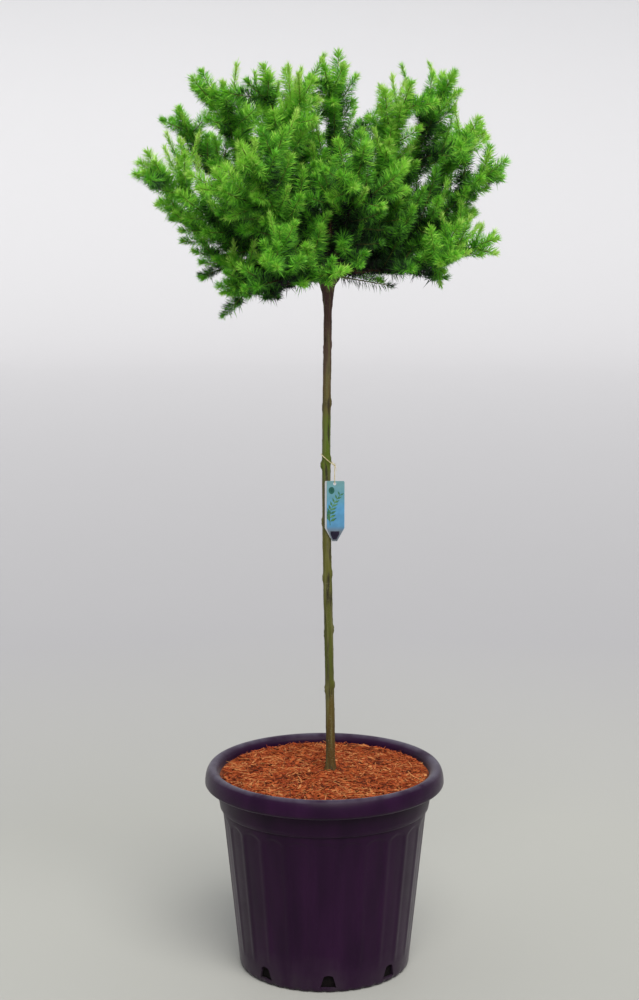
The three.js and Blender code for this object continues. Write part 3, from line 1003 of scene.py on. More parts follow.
@dataclass
class Growth:
    """The rule by which the solids' shoots branch, carried on to finer twigs.

    Fields named as in the solids' source hold the same values.
    """

    limbs: list[Limb]
    bough_share: float = 0.21
    gap: float = 0.3
    per_mass: int = 5
    first: float = 0.28
    last: float = 0.82
    low_spread: float = 60
    high_spread: float = 42
    longest: float = 0.42
    shortest: float = 0.24
    lift: float = 0.13
    inside: float = 0.05
    room: float = 6
    share_jitter: float = 0.05
    shorter: float = 0.82
    least_length: float = 42
    tries: int = 5
    tip_room: float = 18
    end_radius: float = 3.6
    side_radius: float = 2.4
    twig_radius: float = 1.1
    twig_step: float = 11.5
    twig_longest: float = 112
    twig_shortest: float = 42
    twig_least: float = 15
    twig_lift: float = 0.14
    slim_lift: float = 3.4
    twig_turn: float = 61
    turn_play: float = 25
    root_spread: float = 60
    end_spread: float = 36
    spread_play: float = 9
    level_size: float = 0.84
    rise_gain: float = 0.2
    hanging_loss: float = 0.3
    level_limit: float = 0.25
    least_share: float = 0.72
    share_play: float = 0.5
    slim_share: float = 0.34
    leader_bare: float = 0.82
    side_bare: float = 0.7
    stray: float = 11
    stray_deep: float = 80
    twig_end_room: float = 20
    stem_space: float = 34
    shade: float = -0.5
    shade_loss: float = 0.5
    steepest_drop: float = -0.52
    hanging: tuple[tuple[tuple, tuple, bool, float], ...] = (
        ((26, -8, 1266), (117, -8, 1250), False, 0.34),
        ((198, -30, 1294), (201, -34, 1255), True, 0.9),
    )

    @cached_property
    def faces(self) -> dict[int, Array]:
        """The unit directions into each limb's space from its faces with the others.

        Returns:
            The directions, by the limb's index.
        """
        made = {}
        for limb in self.limbs:
            apart = np.array([limb.axis - each.axis for each in self.limbs if each is not limb])
            made[limb.index] = unit(apart)
        return made

    def depth(self, limb: Limb, points: Array) -> Array:
        """How far points lie inside the space of a limb's mass.

        Args:
            limb: The limb.
            points: The points.

        Returns:
            The depths, below zero outside.
        """
        out = np.atleast_2d(points) - HEAD
        walls = (out @ self.faces[limb.index].T).min(axis=1)
        return np.minimum(walls, limb.reach - np.linalg.norm(out, axis=1))

    def leader(self, limb: Limb) -> Shoot:
        """The shoot that grows on from a limb's bough to its tip.

        Args:
            limb: The limb.

        Returns:
            The shoot.
        """
        start = self.bough_share + self.gap / limb.reach
        end = 1 - self.tip_room / limb.reach

        def path(at: Array) -> Array:
            """The leader's middle line."""
            return limb.point(start + (end - start) * np.asarray(at, float))

        length = limb.reach * (end - start)
        return Shoot(limb, path, length, self.end_radius, limb.index * 50 + 49, 1)

    def branch(
        self, parent: Shoot, root: Array, direction: Array, length: float, lift: float,
        seed: int, order: int, radius: float, slim: bool = False,
    ) -> Shoot:
        """A shoot from a point along a direction, turned up towards its end.

        Args:
            parent: The shoot that bears it.
            root: Where it grows.
            direction: Where it points.
            length: Its length.
            lift: How far it turns up, as a share of its length.
            seed: The number that its chances are drawn with.
            order: Its order.
            radius: Its radius at the root.
            slim: Whether it is this spring's.

        Returns:
            The shoot.
        """

        def path(at: Array) -> Array:
            """The shoot's middle line."""
            at = np.asarray(at, float)[..., None]
            return root + direction * length * at + UP * length * lift * at * at

        return Shoot(parent.limb, path, length, radius, seed, order, slim)

    def side_shoots(self, leader: Shoot) -> list[Shoot]:
        """A mass's side shoots, by the rule of the solids.

        Args:
            leader: The mass's leading shoot.

        Returns:
            The side shoots that fit into its space.
        """
        limb = leader.limb
        made = []
        for k in range(self.per_mass):
            place = k / (self.per_mass - 1)
            seed = limb.index * 50 + k
            jitter = (chance(seed, 1) - 0.5) * self.share_jitter
            share = mixed(self.first, self.last, place) + jitter
            root = limb.point(share)
            tangent = unit(limb.point(share + 0.01) - limb.point(share - 0.01))
            turn = math.radians(limb.roll + k * GOLDEN_TURN)
            spread = math.radians(mixed(self.low_spread, self.high_spread, place))
            direction = swung(tangent, swung(*across(tangent, limb.over), turn), spread)
            size = mixed(self.longest, self.shortest, place)
            length = limb.reach * size * (0.85 + 0.3 * float(chance(seed, 2)))
            for _ in range(self.tries):
                if length <= self.least_length:
                    break
                shoot = self.branch(leader, root, direction, length, self.lift, seed, 2, self.side_radius)
                ends = shoot.path(np.array([0.5, 1.0]))
                short = limb.reach * (1 - self.inside) - np.linalg.norm(ends[1] - HEAD)
                if min(self.depth(limb, ends).min(), short) > self.room:
                    made.append(shoot)
                    break
                length *= self.shorter
        return made

    def twigs(self, parent: Shoot, longest: float, order: int) -> list[Shoot]:
        """The twigs of a shoot, each kept near its limb's space and clear of the stem.

        Args:
            parent: The shoot that bears them.
            longest: The length of the longest.
            order: The twigs' order.

        Returns:
            The twigs.
        """
        made = []
        first, last = (0.03, self.leader_bare) if parent.order == 1 else (0.14, self.side_bare)
        count = max(1, round(parent.length * (last - first) / self.twig_step))
        for k in range(count):
            seed = parent.seed * 41 + k * 7 + order * 1009
            place = (k + 0.5) / count
            share = mixed(first, last, place**1.2) + float(either_way(seed, 1)) * 0.02
            root, tangent = parent.path(share), parent.tangent(share)
            turn = parent.limb.roll + self.twig_turn + k * GOLDEN_TURN
            turn += self.turn_play * either_way(seed, 2)
            spread = mixed(self.root_spread, self.end_spread, place)
            spread += self.spread_play * float(either_way(seed, 3))
            out = swung(*about(tangent), math.radians(turn))
            direction = swung(tangent, out, math.radians(spread))
            rise = float(direction[2])
            upright = self.level_size + self.rise_gain * rise
            upright -= self.hanging_loss * max(0.0, -self.level_limit - rise)
            length = mixed(longest, self.twig_shortest, place) * upright
            length *= self.least_share + self.share_play * float(chance(seed, 4))
            slim = float(chance(seed, 5)) < self.slim_share * max(0.0, rise + self.level_limit)
            lift = self.twig_lift * (self.slim_lift if slim else 1)
            while length > self.twig_least:
                shoot = self.branch(
                    parent, root, direction, length, lift, seed, order, self.twig_radius, slim
                )
                if self.fits(shoot):
                    if not self.failed(shoot, direction):
                        made.append(shoot)
                    break
                length *= self.shorter
        return made

    def failed(self, shoot: Shoot, direction: Array) -> bool:
        """Whether a twig died back, because it hung down or stood in the shade of others.

        Args:
            shoot: The twig.
            direction: Where it points.

        Returns:
            Whether it did.
        """
        tip = shoot.path(1.0)
        outside = np.linalg.norm(tip - HEAD) > 0.5 * shoot.limb.reach
        shaded = clumps(tip) < self.shade and chance(shoot.seed, 6) < self.shade_loss
        return bool((outside and shaded) or direction[2] < self.steepest_drop)

    def fits(self, shoot: Shoot) -> bool:
        """Whether a twig keeps near its limb's space, within reach and clear of the stem.

        Args:
            shoot: The twig.

        Returns:
            Whether it does.
        """
        out = shoot.path(1.0) - HEAD
        reached = float(np.linalg.norm(out))
        inside = (self.faces[shoot.limb.index] @ out).min()
        clear = math.hypot(out[0], out[1]) > self.stem_space or out[2] > self.stem_space
        stray = self.stray + self.stray_deep * max(0.0, 1 - reached / shoot.limb.reach)
        return shoot.limb.reach - reached > self.twig_end_room and inside > -stray and clear

    def hanging_twigs(self) -> list[Shoot]:
        """The thin twigs that hang below the crown, each from its root to its tip.

        Returns:
            The twigs.
        """
        made = []
        parent = self.leader(self.limbs[0])
        radius = 1.4 * self.twig_radius
        for number, (start, end, slim, needles) in enumerate(self.hanging):
            root = np.array(start, float)
            way = np.array(end, float) - root
            length = float(np.linalg.norm(way))
            twig = self.branch(parent, root, way / length, length, 0, 7 + number, 3, radius, slim)
            made.append(replace(twig, needles=needles))
        return made

    def shoots(self) -> list[Shoot]:
        """Every shoot of the crown.

        Returns:
            The shoots, with a limb's own together.
        """
        made = self.hanging_twigs()
        for limb in self.limbs:
            leader = self.leader(limb)
            sides = self.side_shoots(leader)
            twigs = self.twigs(leader, self.twig_longest, 3)
            for shoot in sides:
                twigs += self.twigs(shoot, self.twig_longest * 0.72, 3)
            made += [leader, *sides, *twigs]
        return made


@dataclass
class Needles:
    """The needles: kites of two faces, folded along their middle, in sprays along the shoots.

    Attributes:
        spacing: From one needle to the next along a shoot.
        longest: The length of a needle in the middle of a shoot.
        end_taper: How far back from a shoot's end the needles begin to lean and to shorten.
        end_size: The share of their length that is left at the end.
        middle_lean: How far the needles lean along the shoot, in its middle.
        end_lean: How far they lean at its end.
    """

    spacing: float = 0.24
    longest: float = 24.5
    width: float = 1.02
    fold: float = 0.22
    bow: float = 0.05
    widest_at: float = 0.42
    end_taper: float = 26
    end_size: float = 0.66
    middle_lean: float = 19
    end_lean: float = 50
    slim_lean: float = 44
    slim_size: float = 0.66
    lean_spread: float = 15
    unruly: float = 0.2
    droop: float = 0.3
    low_droop: float = 0.62
    fringe: float = 0.07
    tuft: int = 32
    tuft_length: float = 13
    spray: float = 3.4
    sprays_round: int = 4
    mottle: float = 0.24
    rosette_step: float = 6
    rosette_needles: int = 30
    rosette_length: float = 21
    rosette_cone: float = 64
    rosette_turn: float = 40
    spur_height: float = 2.5
    tone_steps: tuple[float, ...] = (0.13, 0.46, 0.65, 0.86, 1.13)
    gathered: dict[tuple[Tier, Tone], Gathering] = field(default_factory=dict)

    def tones(self, shoot: Shoot, roots: Array, at: Array, side: Numbers = 0.0) -> Array:
        """The tone of each needle, dealt out by spray.

        Args:
            shoot: The shoot that bears the needles.
            roots: Where the needles grow.
            at: Their shares along the shoot.
            side: On which side of the shoot each spray stands, as a number.

        Returns:
            Numbers of tones, in the order of Tone.
        """
        out = roots - HEAD
        distance = np.linalg.norm(out, axis=1)
        high = out[:, 2] / np.maximum(distance, 1)
        spray = np.floor(at * shoot.length / self.spray) * 11 + side
        # Painted light and shade: needles deep in the crown, low in it and in the shaded clumps get
        # darker tones, outer and higher ones lighter; the share along the shoot and the new shoots stand
        # for age.
        freshness_and_light = 0.62 * distance / shoot.limb.reach + 0.05 * high + 0.38 * at + 0.16 * shoot.slim
        freshness_and_light = freshness_and_light + 0.16 * float(clumps(shoot.path(0.6))) + 0.11 * either_way(shoot.seed, 11)
        freshness_and_light = freshness_and_light + self.mottle * either_way(shoot.seed * 3.7 + spray, 12)
        freshness_and_light = freshness_and_light + 0.09 * either_way(shoot.limb.index * 3.3, 14)
        return np.digitize(freshness_and_light, self.tone_steps)

    def grow(
        self, shoot: Shoot, roots: Array, directions: Array, lengths: Array,
        tones: Array, seeds: Array,
    ) -> None:
        """Makes needles.

        Args:
            shoot: The shoot that bears them.
            roots: Where they grow.
            directions: Where they point.
            lengths: Their lengths.
            tones: Their tones' numbers.
            seeds: The numbers that their chances are drawn with.
        """
        directions = unit(directions)
        other = unit(np.cross(directions, np.where(np.abs(directions[:, 2:]) < 0.8, UP, FRONT)))
        third = np.cross(directions, other)
        roll = chance(seeds, 21) * math.pi
        lengths = lengths[:, None]
        half = self.width / 2 * (0.85 + 0.3 * chance(seeds, 22))[:, None]
        wide = swung(other, third, roll) * half
        raised = swung(third, -other, roll) * (self.fold * half + self.bow * lengths)
        waist = roots + directions * lengths * self.widest_at + raised
        tips = roots + directions * lengths
        corners = np.stack([roots, waist + wide, tips, waist - wide], axis=1)
        for number, tone in enumerate(Tone):
            some = corners[tones == number]
            if len(some):
                first = np.arange(len(some))[:, None] * 4
                faces = np.concatenate([first + [0, 1, 2], first + [0, 2, 3]])
                self.gathered.setdefault((shoot.limb.tier, tone), Gathering()).add(some, faces)

    def clothe(self, shoot: Shoot) -> None:
        """Grows the spiral of needles along a shoot, and the brush at its end.

        Args:
            shoot: The shoot.
        """
        count = int(shoot.length * shoot.needles / self.spacing)
        number = np.arange(count)
        seeds = shoot.seed * 13.7 + number
        at = np.clip((number + 0.5 + 0.4 * either_way(seeds, 1)) / count, 0, 1)
        tangent = shoot.tangent(at)
        turn = np.radians(number * GOLDEN_TURN + 20 * either_way(seeds, 2))
        back = smooth(between(0, self.end_taper, (1 - at) * shoot.length))
        lean = mixed(self.end_lean, self.slim_lean if shoot.slim else self.middle_lean, back)
        lean = np.radians(lean + self.lean_spread * either_way(seeds, 3))
        stray = np.stack([either_way(seeds, draw) for draw in (4, 5, 6)], axis=1) * self.unruly
        directions = swung(swung(*about(tangent), turn), tangent, lean) + stray
        least, most = (0.72, 1.1) if shoot.order >= 3 else (0.86, 1)
        size = self.longest * (0.76 + 0.3 * chance(seeds, 7)) * mixed(self.end_size, 1, back)
        size = size * mixed(least, most, chance(shoot.seed, 8)) * (self.slim_size if shoot.slim else 1)
        size = size * self.hung(shoot, directions, seeds)
        roots = shoot.path(at)
        stands = np.floor(turn / (2 * math.pi) % 1 * self.sprays_round)
        tones = self.tones(shoot, roots, at, stands)
        self.grow(shoot, roots, directions, size, tones, seeds)
        self.end_brush(shoot)

    def hung(self, shoot: Shoot, directions: Array, seeds: Array) -> Array:
        """The share of their length that needles keep where they hang, but for a few long ones.

        Args:
            shoot: The shoot that bears them.
            directions: Where they point.
            seeds: The numbers that their chances are drawn with.

        Returns:
            The shares.
        """
        if shoot.needles < 1:
            return np.ones(len(seeds))
        droop = self.low_droop if shoot.limb.tier is Tier.LOW else self.droop
        droop = np.where(chance(seeds, 10) < self.fringe, -0.1, droop)
        return 1 - droop * np.clip(-unit(directions)[:, 2], 0, 1)

    def end_brush(self, shoot: Shoot) -> None:
        """Grows the close brush of short new needles at a shoot's end.

        Args:
            shoot: The shoot.
        """
        number = np.arange(self.tuft)
        seeds = shoot.seed * 29.3 + number
        share = self.tuft_length * 0.8 / shoot.length
        at = np.clip(1 - share * chance(seeds, 1), 0, 1)
        tangent = shoot.tangent(at)
        out = swung(*about(tangent), np.radians(number * GOLDEN_TURN))
        directions = swung(out, tangent, np.radians(mixed(38, 84, chance(seeds, 2))))
        size = self.tuft_length * (0.7 + 0.5 * chance(seeds, 3))
        roots = shoot.path(at)
        new = shoot.slim or chance(shoot.seed, 9) < 0.5
        tones = np.minimum(self.tones(shoot, roots, at) + (1 if new else 0), len(Tone) - 1)
        self.grow(shoot, roots, directions, size, tones, seeds)

    def rosettes(self, shoot: Shoot, low: float, high: float) -> None:
        """Grows rosettes of needles on short spurs along the older wood of a shoot.

        Args:
            shoot: The shoot.
            low: The share where they start.
            high: The share where they end.
        """
        count = int(shoot.length * (high - low) / self.rosette_step)
        spurs = np.arange(count)
        at = low + (high - low) * (spurs + 0.5) / max(1, count)
        each = np.repeat(spurs, self.rosette_needles)
        tangent = shoot.tangent(at)
        out = swung(*about(tangent), np.radians(spurs * GOLDEN_TURN + self.rosette_turn))[each]
        along = tangent[each]
        seeds = shoot.seed * 17.9 + np.arange(len(each))
        spread = swung(along, np.cross(out, along), chance(seeds, 1) * 2 * math.pi)
        lean = np.radians(self.rosette_cone) * np.sqrt(chance(seeds, 2))
        directions = swung(out, spread, lean)
        size = self.rosette_length * (0.5 + 0.7 * chance(seeds, 3))
        size = size * self.hung(shoot, directions, seeds)
        roots = shoot.path(at)[each] + out * self.spur_height
        # One tone darker than the shoot's own needles: partly for the older needles on the spurs, partly
        # painted shade on the old wood inside the crown.
        tones = np.maximum(self.tones(shoot, roots, at[each]) - 1, 0)
        self.grow(shoot, roots, directions, size, tones, seeds)


@dataclass
class Crown:
    """The grafted head's boughs, shoots and needles."""

    table: dict[str, tuple[float, float, float, float]] = field(
        default_factory=lambda: {
            "low_right": (10, 22, 301, 312),
            "low_back_right": (68, 8, 246, 56),
            "low_back_left": (155, 19, 376, 284),
            "low_left": (176, 10, 256, 220),
            "low_front_left": (196, -4, 216, 60),
            "low_front": (248, 9, 303, 44),
            "low_front_right": (342, 13, 327, 76),
            "mid_right": (351, 33, 384, 12),
            "mid_back_right": (33, 38, 438, 336),
            "mid_back": (99, 20, 345, 84),
            "mid_back_left": (148, 39, 444, 300),
            "mid_left": (185, 31, 399, 16),
            "mid_front_left": (241, 38, 393, 72),
            "mid_front": (285, 45, 344, 264),
            "high_right": (4, 58, 430, 336),
            "high_back": (108, 55, 452, 164),
            "high_left": (176, 58, 432, 108),
            "high_front_left": (227, 66, 409, 104),
            "high_front_right": (322, 62, 392, 56),
            "top": (70, 82, 404, 56),
        }
    )
    root_radius: float = 5
    end_radius: float = 3.6
    tip_radius: float = 0.6
    young_from: float = 0.42
    bough_rings: int = 34
    bough_sides: int = 12
    spur_step: float = 9
    spur_size: float = 2.6
    spur_radii: tuple[float, ...] = (1.5, 1.25, 1.0)
    bough_spur_root: float = 3.4
    leader_spur_root: float = 2.6
    leader_rosettes: float = 0.5
    side_rosettes: float = 0.4
    bare_bough: float = 0.45

    def limbs(self) -> list[Limb]:
        """The limbs, in the order of the table."""
        return [Limb(name, k, *row) for k, (name, row) in enumerate(self.table.items())]

    def build(self) -> None:
        """Makes the boughs, then the wood and the needles of every shoot."""
        limbs = self.limbs()
        growth = Growth(limbs)
        shoots = growth.shoots()
        log.info("crown: %d shoots, %.1f m", len(shoots), sum(s.length for s in shoots) * MM)
        self.build_boughs(limbs, growth.bough_share)
        self.build_wood(shoots)
        self.build_needles(shoots, growth.bough_share)

    def build_boughs(self, limbs: list[Limb], share: float) -> None:
        """Makes the boughs from the head to where their masses begin.

        Args:
            limbs: The limbs.
            share: The share of a limb's reach where its mass begins.
        """
        gathered = Gathering()
        at = np.linspace(0, share, self.bough_rings)
        angles = np.arange(self.bough_sides)[None, :] / self.bough_sides
        plain = mixed(self.root_radius, self.end_radius, at / share)[:, None]
        ends = np.minimum(between(0, 0.2, at / share), between(1, 0.9, at / share))[:, None]
        for limb in limbs:
            along = (at * limb.reach)[:, None]
            rough = ripple(angles, along / 7, 6, limb.index + 30) * 0.42
            rough = rough + ripple(angles, along / 19, 3, limb.index + 60) * 0.5
            gathered.add(*tube(limb.point(at), plain + rough * ends, self.bough_sides))
            self.add_spurs(gathered, limb.point, 0.35 * share, share, limb, self.bough_spur_root)
        finish = Finish("bough bark", *Age.OLD.value, roughness=0.85, patches=140, relief=0.0006)
        nodes = [f"bough_{limb.name}" for limb in limbs]
        place_piece(gathered.mesh("boughs_with_bark", 50), finish, nodes)

    def add_spurs(
        self, gathered: Gathering, path: Path, low: float, high: float, limb: Limb, radius: float
    ) -> None:
        """Adds the short stubs that bore needles in earlier years.

        Args:
            gathered: Where they are added.
            path: The line that they stand on.
            low: The share where they start.
            high: The share where they end.
            limb: The limb that they belong to.
            radius: The wood's radius there.
        """
        count = max(1, int(limb.reach * (high - low) / self.spur_step))
        for k in range(count):
            at = mixed(low, high, (k + 0.5) / count)
            centre = path(at)
            out = swung(*about(unit(path(at + 0.01) - centre)), math.radians(k * GOLDEN_TURN + 40))
            reach = radius + self.spur_size * (0.7 + 0.5 * float(chance(limb.index * 9 + k, 5)))
            line = centre + out * np.linspace(radius * 0.5, reach, 3)[:, None]
            gathered.add(*tube(line, np.array(self.spur_radii), 5, 0.4))

    def build_wood(self, shoots: list[Shoot]) -> None:
        """Makes the wood of the shoots, old and young apart, in each storey.

        Args:
            shoots: The crown's shoots.
        """
        gathered: dict[tuple[Tier, Age], Gathering] = {}
        for shoot in shoots:
            sides = {1: 8, 2: 6}.get(shoot.order, 4)
            parts = [(Age.YOUNG, 0.0, 1.0, 4)]
            if shoot.order < 3:
                rings = 8 if shoot.order == 1 else 4
                parts = [(Age.OLD, 0.0, self.young_from, rings), (Age.YOUNG, self.young_from, 1.0, rings)]
            for age, start, end, rings in parts:
                wood = gathered.setdefault((shoot.limb.tier, age), Gathering())
                at = np.linspace(start, end, rings)
                radii = mixed(shoot.radius, self.tip_radius, at**0.6)
                if shoot.order < 3:
                    rough = 0.12 * either_way(shoot.seed + np.arange(rings), 6)
                    radii = radii * (1 + rough * np.sin(np.linspace(0, math.pi, rings)))
                wood.add(*tube(shoot.path(at), radii, sides, 1.5 if end == 1 else 0.0))
                if shoot.order == 1 and age is Age.OLD:
                    self.add_spurs(wood, shoot.path, 0.03, end, shoot.limb, self.leader_spur_root)
        for (tier, age), wood in gathered.items():
            word = age.name.lower()
            finish = Finish(
                f"{word} twig bark", *age.value, roughness=0.8, patches=180, grain=1100, relief=0.0003
            )
            mesh = wood.mesh(f"twigs_{word}_{tier.value}", 50)
            place_piece(mesh, finish, self.masses(tier))

    def masses(self, tier: Tier) -> list[str]:
        """The names of the solids of a storey's masses."""
        return [f"foliage_{limb.name}" for limb in self.limbs() if limb.tier is tier]

    def build_needles(self, shoots: list[Shoot], share: float) -> None:
        """Makes the needles, each tone apart, in each storey.

        Args:
            shoots: The crown's shoots.
            share: The share of a limb's reach where its mass begins.
        """
        needles = Needles()
        for shoot in shoots:
            if shoot.order == 1:
                limb = shoot.limb
                bough = Shoot(limb, limb.point, limb.reach, self.end_radius, shoot.seed + 7, 4)
                needles.rosettes(shoot, 0.0, self.leader_rosettes)
                needles.rosettes(bough, share * self.bare_bough, share)
            if shoot.order == 2:
                needles.rosettes(shoot, 0.0, self.side_rosettes)
            needles.clothe(shoot)
        for (tier, tone), gathered in needles.gathered.items():
            word = tone.name.lower()
            finish = Finish(
                f"{word} needles", *tone.value, roughness=0.55, patches=70, grain=600, relief=0.0001,
                gloss=0.22,
            )
            mesh = gathered.mesh(f"needles_{word}_{tier.value}")
            place_piece(mesh, finish, self.masses(tier))


@dataclass
class Pot:
    """The round nursery pot, with shallow flutes, a rolled rim and drain holes in its foot."""

    height: float = 376
    body_foot_radius: float = 155.6
    foot_rounding: float = 8
    body_top_radius: float = 186.4
    collar_foot: float = 301.5
    collar_radius: float = 190.7
    neck_radius: float = 196.3
    neck_height: float = 336
    rim_under_radius: float = 200.5
    rim_under: float = 340
    rim_radius: float = 217.8
    rim_band_low: float = 348
    rim_band_high: float = 348
    crest_radius: float = 206
    inner_rim_radius: float = 192
    inner_rim_height: float = 362
    wall: float = 5
    rim_wall: float = 7
    floor: float = 4
    flutes: int = 24
    flute_depth: float = 1.4
    flute_foot: float = 40
    flute_arch: float = 279
    flute_top: float = 292
    flute_fade: float = 7
    ridge_share: float = 0.42
    notches: int = 40
    notch_depth: float = 2.2
    notch_height: float = 11
    segments: int = 360
    drains: int = 8
    drain_turn: float = 2.5
    drain_width: float = 29
    drain_top_width: float = 18
    drain_low: float = 10
    drain_high: float = 34
    cut_depth: float = 40
    sharp: float = 38

    def body_radius(self, height: Numbers) -> Numbers:
        """The radius of the straight body outside, without its flutes."""
        return mixed(self.body_foot_radius, self.body_top_radius, height / self.collar_foot)

    def profile(self) -> Array:
        """The section from the middle of the underside round the outside to the inside.

        Returns:
            Radius and height of each point.
        """
        rounding, step, low_band = self.foot_rounding, self.collar_foot, self.rim_band_low
        foot = quarter((self.body_radius(rounding) - rounding, rounding), (rounding,) * 2, -90, 0, 5)
        heights = [*np.linspace(11, self.flute_foot, 6), *np.linspace(48, self.flute_arch - 8, 9)]
        heights += [*np.linspace(self.flute_arch - 4, self.flute_top + 2, 12), step - 3]
        body = [(self.body_radius(height), height) for height in heights]
        ledge = [(self.body_top_radius, step - 0.9), (self.collar_radius - 1.0, step)]
        rising = np.array([0, *np.linspace(0.25, 1, 4)])
        neck_radii = mixed(self.collar_radius, self.neck_radius, rising)
        neck = [*zip(neck_radii, mixed(step + 1.3, self.neck_height, rising))]
        hollow = (self.rim_under_radius - self.neck_radius, self.rim_under - self.neck_height)
        neck += quarter((self.rim_under_radius, self.neck_height), hollow, 180, 100, 4)[1:]
        under_size = (self.rim_radius - self.rim_under_radius, low_band - self.rim_under)
        under = quarter((self.rim_under_radius, low_band), under_size, -90, 0, 8)
        over_size = (self.rim_radius - self.crest_radius, self.height - self.rim_band_high)
        over = quarter((self.crest_radius, self.rim_band_high), over_size, 0, 90, 10)
        inner_size = (self.crest_radius - self.inner_rim_radius, self.height - self.inner_rim_height)
        inner = quarter((self.crest_radius, self.inner_rim_height), inner_size, 105, 180, 7)
        inside = [(self.neck_radius - self.rim_wall, self.neck_height)]
        inside += [(self.body_top_radius - self.wall, step)]
        inside += [(self.body_radius(self.floor) - self.wall, self.floor), (0, self.floor)]
        return np.array([(0, 0), *foot, *body, *ledge, *neck, *under, *over, *inner, *inside], float)

    def flute(self, turn: Array, height: Array) -> Array:
        """How far the wall is drawn in by the flutes.

        Args:
            turn: The direction round the pot, in turns.
            height: The height.

        Returns:
            The depth at each place.
        """
        place = turn * self.flutes + 0.5
        from_middle = np.abs(place - np.floor(place) - 0.5) * 2
        cross = smooth(between(1, 1 - self.ridge_share, from_middle))
        arch = self.flute_top - (self.flute_top - self.flute_arch) * from_middle**2
        top = smooth(between(arch, arch - self.flute_fade, height))
        foot = smooth(between(self.flute_foot - 8, self.flute_foot + 8, height))
        hollow = 0.75 + 0.25 * (1 - from_middle**2)
        return self.flute_depth * cross * top * foot * hollow

    def notch(self, turn: Array, height: Array) -> Array:
        """How far the foot's edge is drawn in between its many small feet.

        Args:
            turn: The direction round the pot, in turns.
            height: The height.

        Returns:
            The depth at each place.
        """
        wave = np.cos(turn * self.notches * 2 * math.pi)
        low = smooth(between(self.notch_height, 0, height))
        return self.notch_depth * smooth(between(0.1, 0.8, wave)) * low

    def drain_cutters(self) -> bpy.types.Object:
        """The arched plugs that are cut out of the foot's wall.

        Returns:
            One object with all of them.
        """
        half, top_half = self.drain_width / 2, self.drain_top_width / 2
        spring = self.drain_high - top_half / 2
        arch = quarter((0, spring), (top_half, top_half / 2), 0, 180, 12)
        outline = np.array([(half, self.drain_low), *arch, (-half, self.drain_low)])
        gathered = Gathering()
        here = np.arange(len(outline))
        for k in range(self.drains):
            out = heading(270 + self.drain_turn + k * 360 / self.drains, 0)
            flat = outline[:, :1] * np.cross(UP, out) + outline[:, 1:] * UP
            depths = self.body_foot_radius + np.array([-0.5, 0.5]) * self.cut_depth
            rings = np.stack([flat + out * depth for depth in depths])
            ends = np.array([here[::-1], here + len(here)])
            gathered.add(rings, ring_faces(2, len(here)), ends)
        return put(gathered.mesh("drain cutters"))

    def build(self) -> None:
        """Makes the pot in place of its solid."""
        points, quads, caps = turned_form(self.profile(), self.segments)
        radius, height = np.hypot(points[:, 0], points[:, 1]), points[:, 2]
        turn = np.arctan2(points[:, 1], points[:, 0]) / (2 * math.pi)
        drawn_in = self.flute(turn, height) + self.notch(turn, height)
        outside = radius > self.body_radius(height) - 1
        edge = radius > self.body_radius(self.foot_rounding) - self.foot_rounding - 1
        sunk = np.where(outside | (edge & (height < self.notch_height)), drawn_in, 0)
        share = np.where(radius > 1, (radius - sunk) / np.maximum(radius, 1), 1)
        points[:, :2] *= share[:, None]
        whole = put(one_mesh("pot whole", None, points, quads, caps))
        cutters = self.drain_cutters()
        cut = whole.modifiers.new("drains", "BOOLEAN")
        cut.operation, cut.object, cut.solver = "DIFFERENCE", cutters, "EXACT"
        depsgraph = bpy.context.evaluated_depsgraph_get()
        mesh = bpy.data.meshes.new_from_object(whole.evaluated_get(depsgraph))
        mesh.name = "nursery_pot"
        for spare in (whole, cutters):
            bpy.data.objects.remove(spare)
        mesh.materials.clear()
        mesh.shade_smooth()
        mesh.set_sharp_from_angle(angle=math.radians(self.sharp))
        finish = PotPlastic(
            "pot plastic", (0.0135, 0.002, 0.0165), (0.0215, 0.0037, 0.0245), roughness=0.42,
            patches=24, grain=1500, relief=0.00012, gloss=0.13, stretch=(1.0, 1.0, 0.16),
        )
        place_piece(mesh, finish, ["pot"])


class BarkTone(Enum):
    """The loose bark's colours, each from darker to lighter."""

    DARK = ((0.055, 0.011, 0.004), (0.115, 0.022, 0.007))
    RED = ((0.2, 0.029, 0.007), (0.31, 0.05, 0.012))
    ORANGE = ((0.33, 0.068, 0.016), (0.43, 0.105, 0.027))
    PALE = ((0.47, 0.16, 0.05), (0.56, 0.25, 0.09))


@dataclass(frozen=True)
class Splinters:
    """One kind of loose bark: how many pieces are tried, and their least and greatest sizes."""

    count: int
    seed: float
    lengths: tuple[float, float]
    widths: tuple[float, float]
    depths: tuple[float, float]


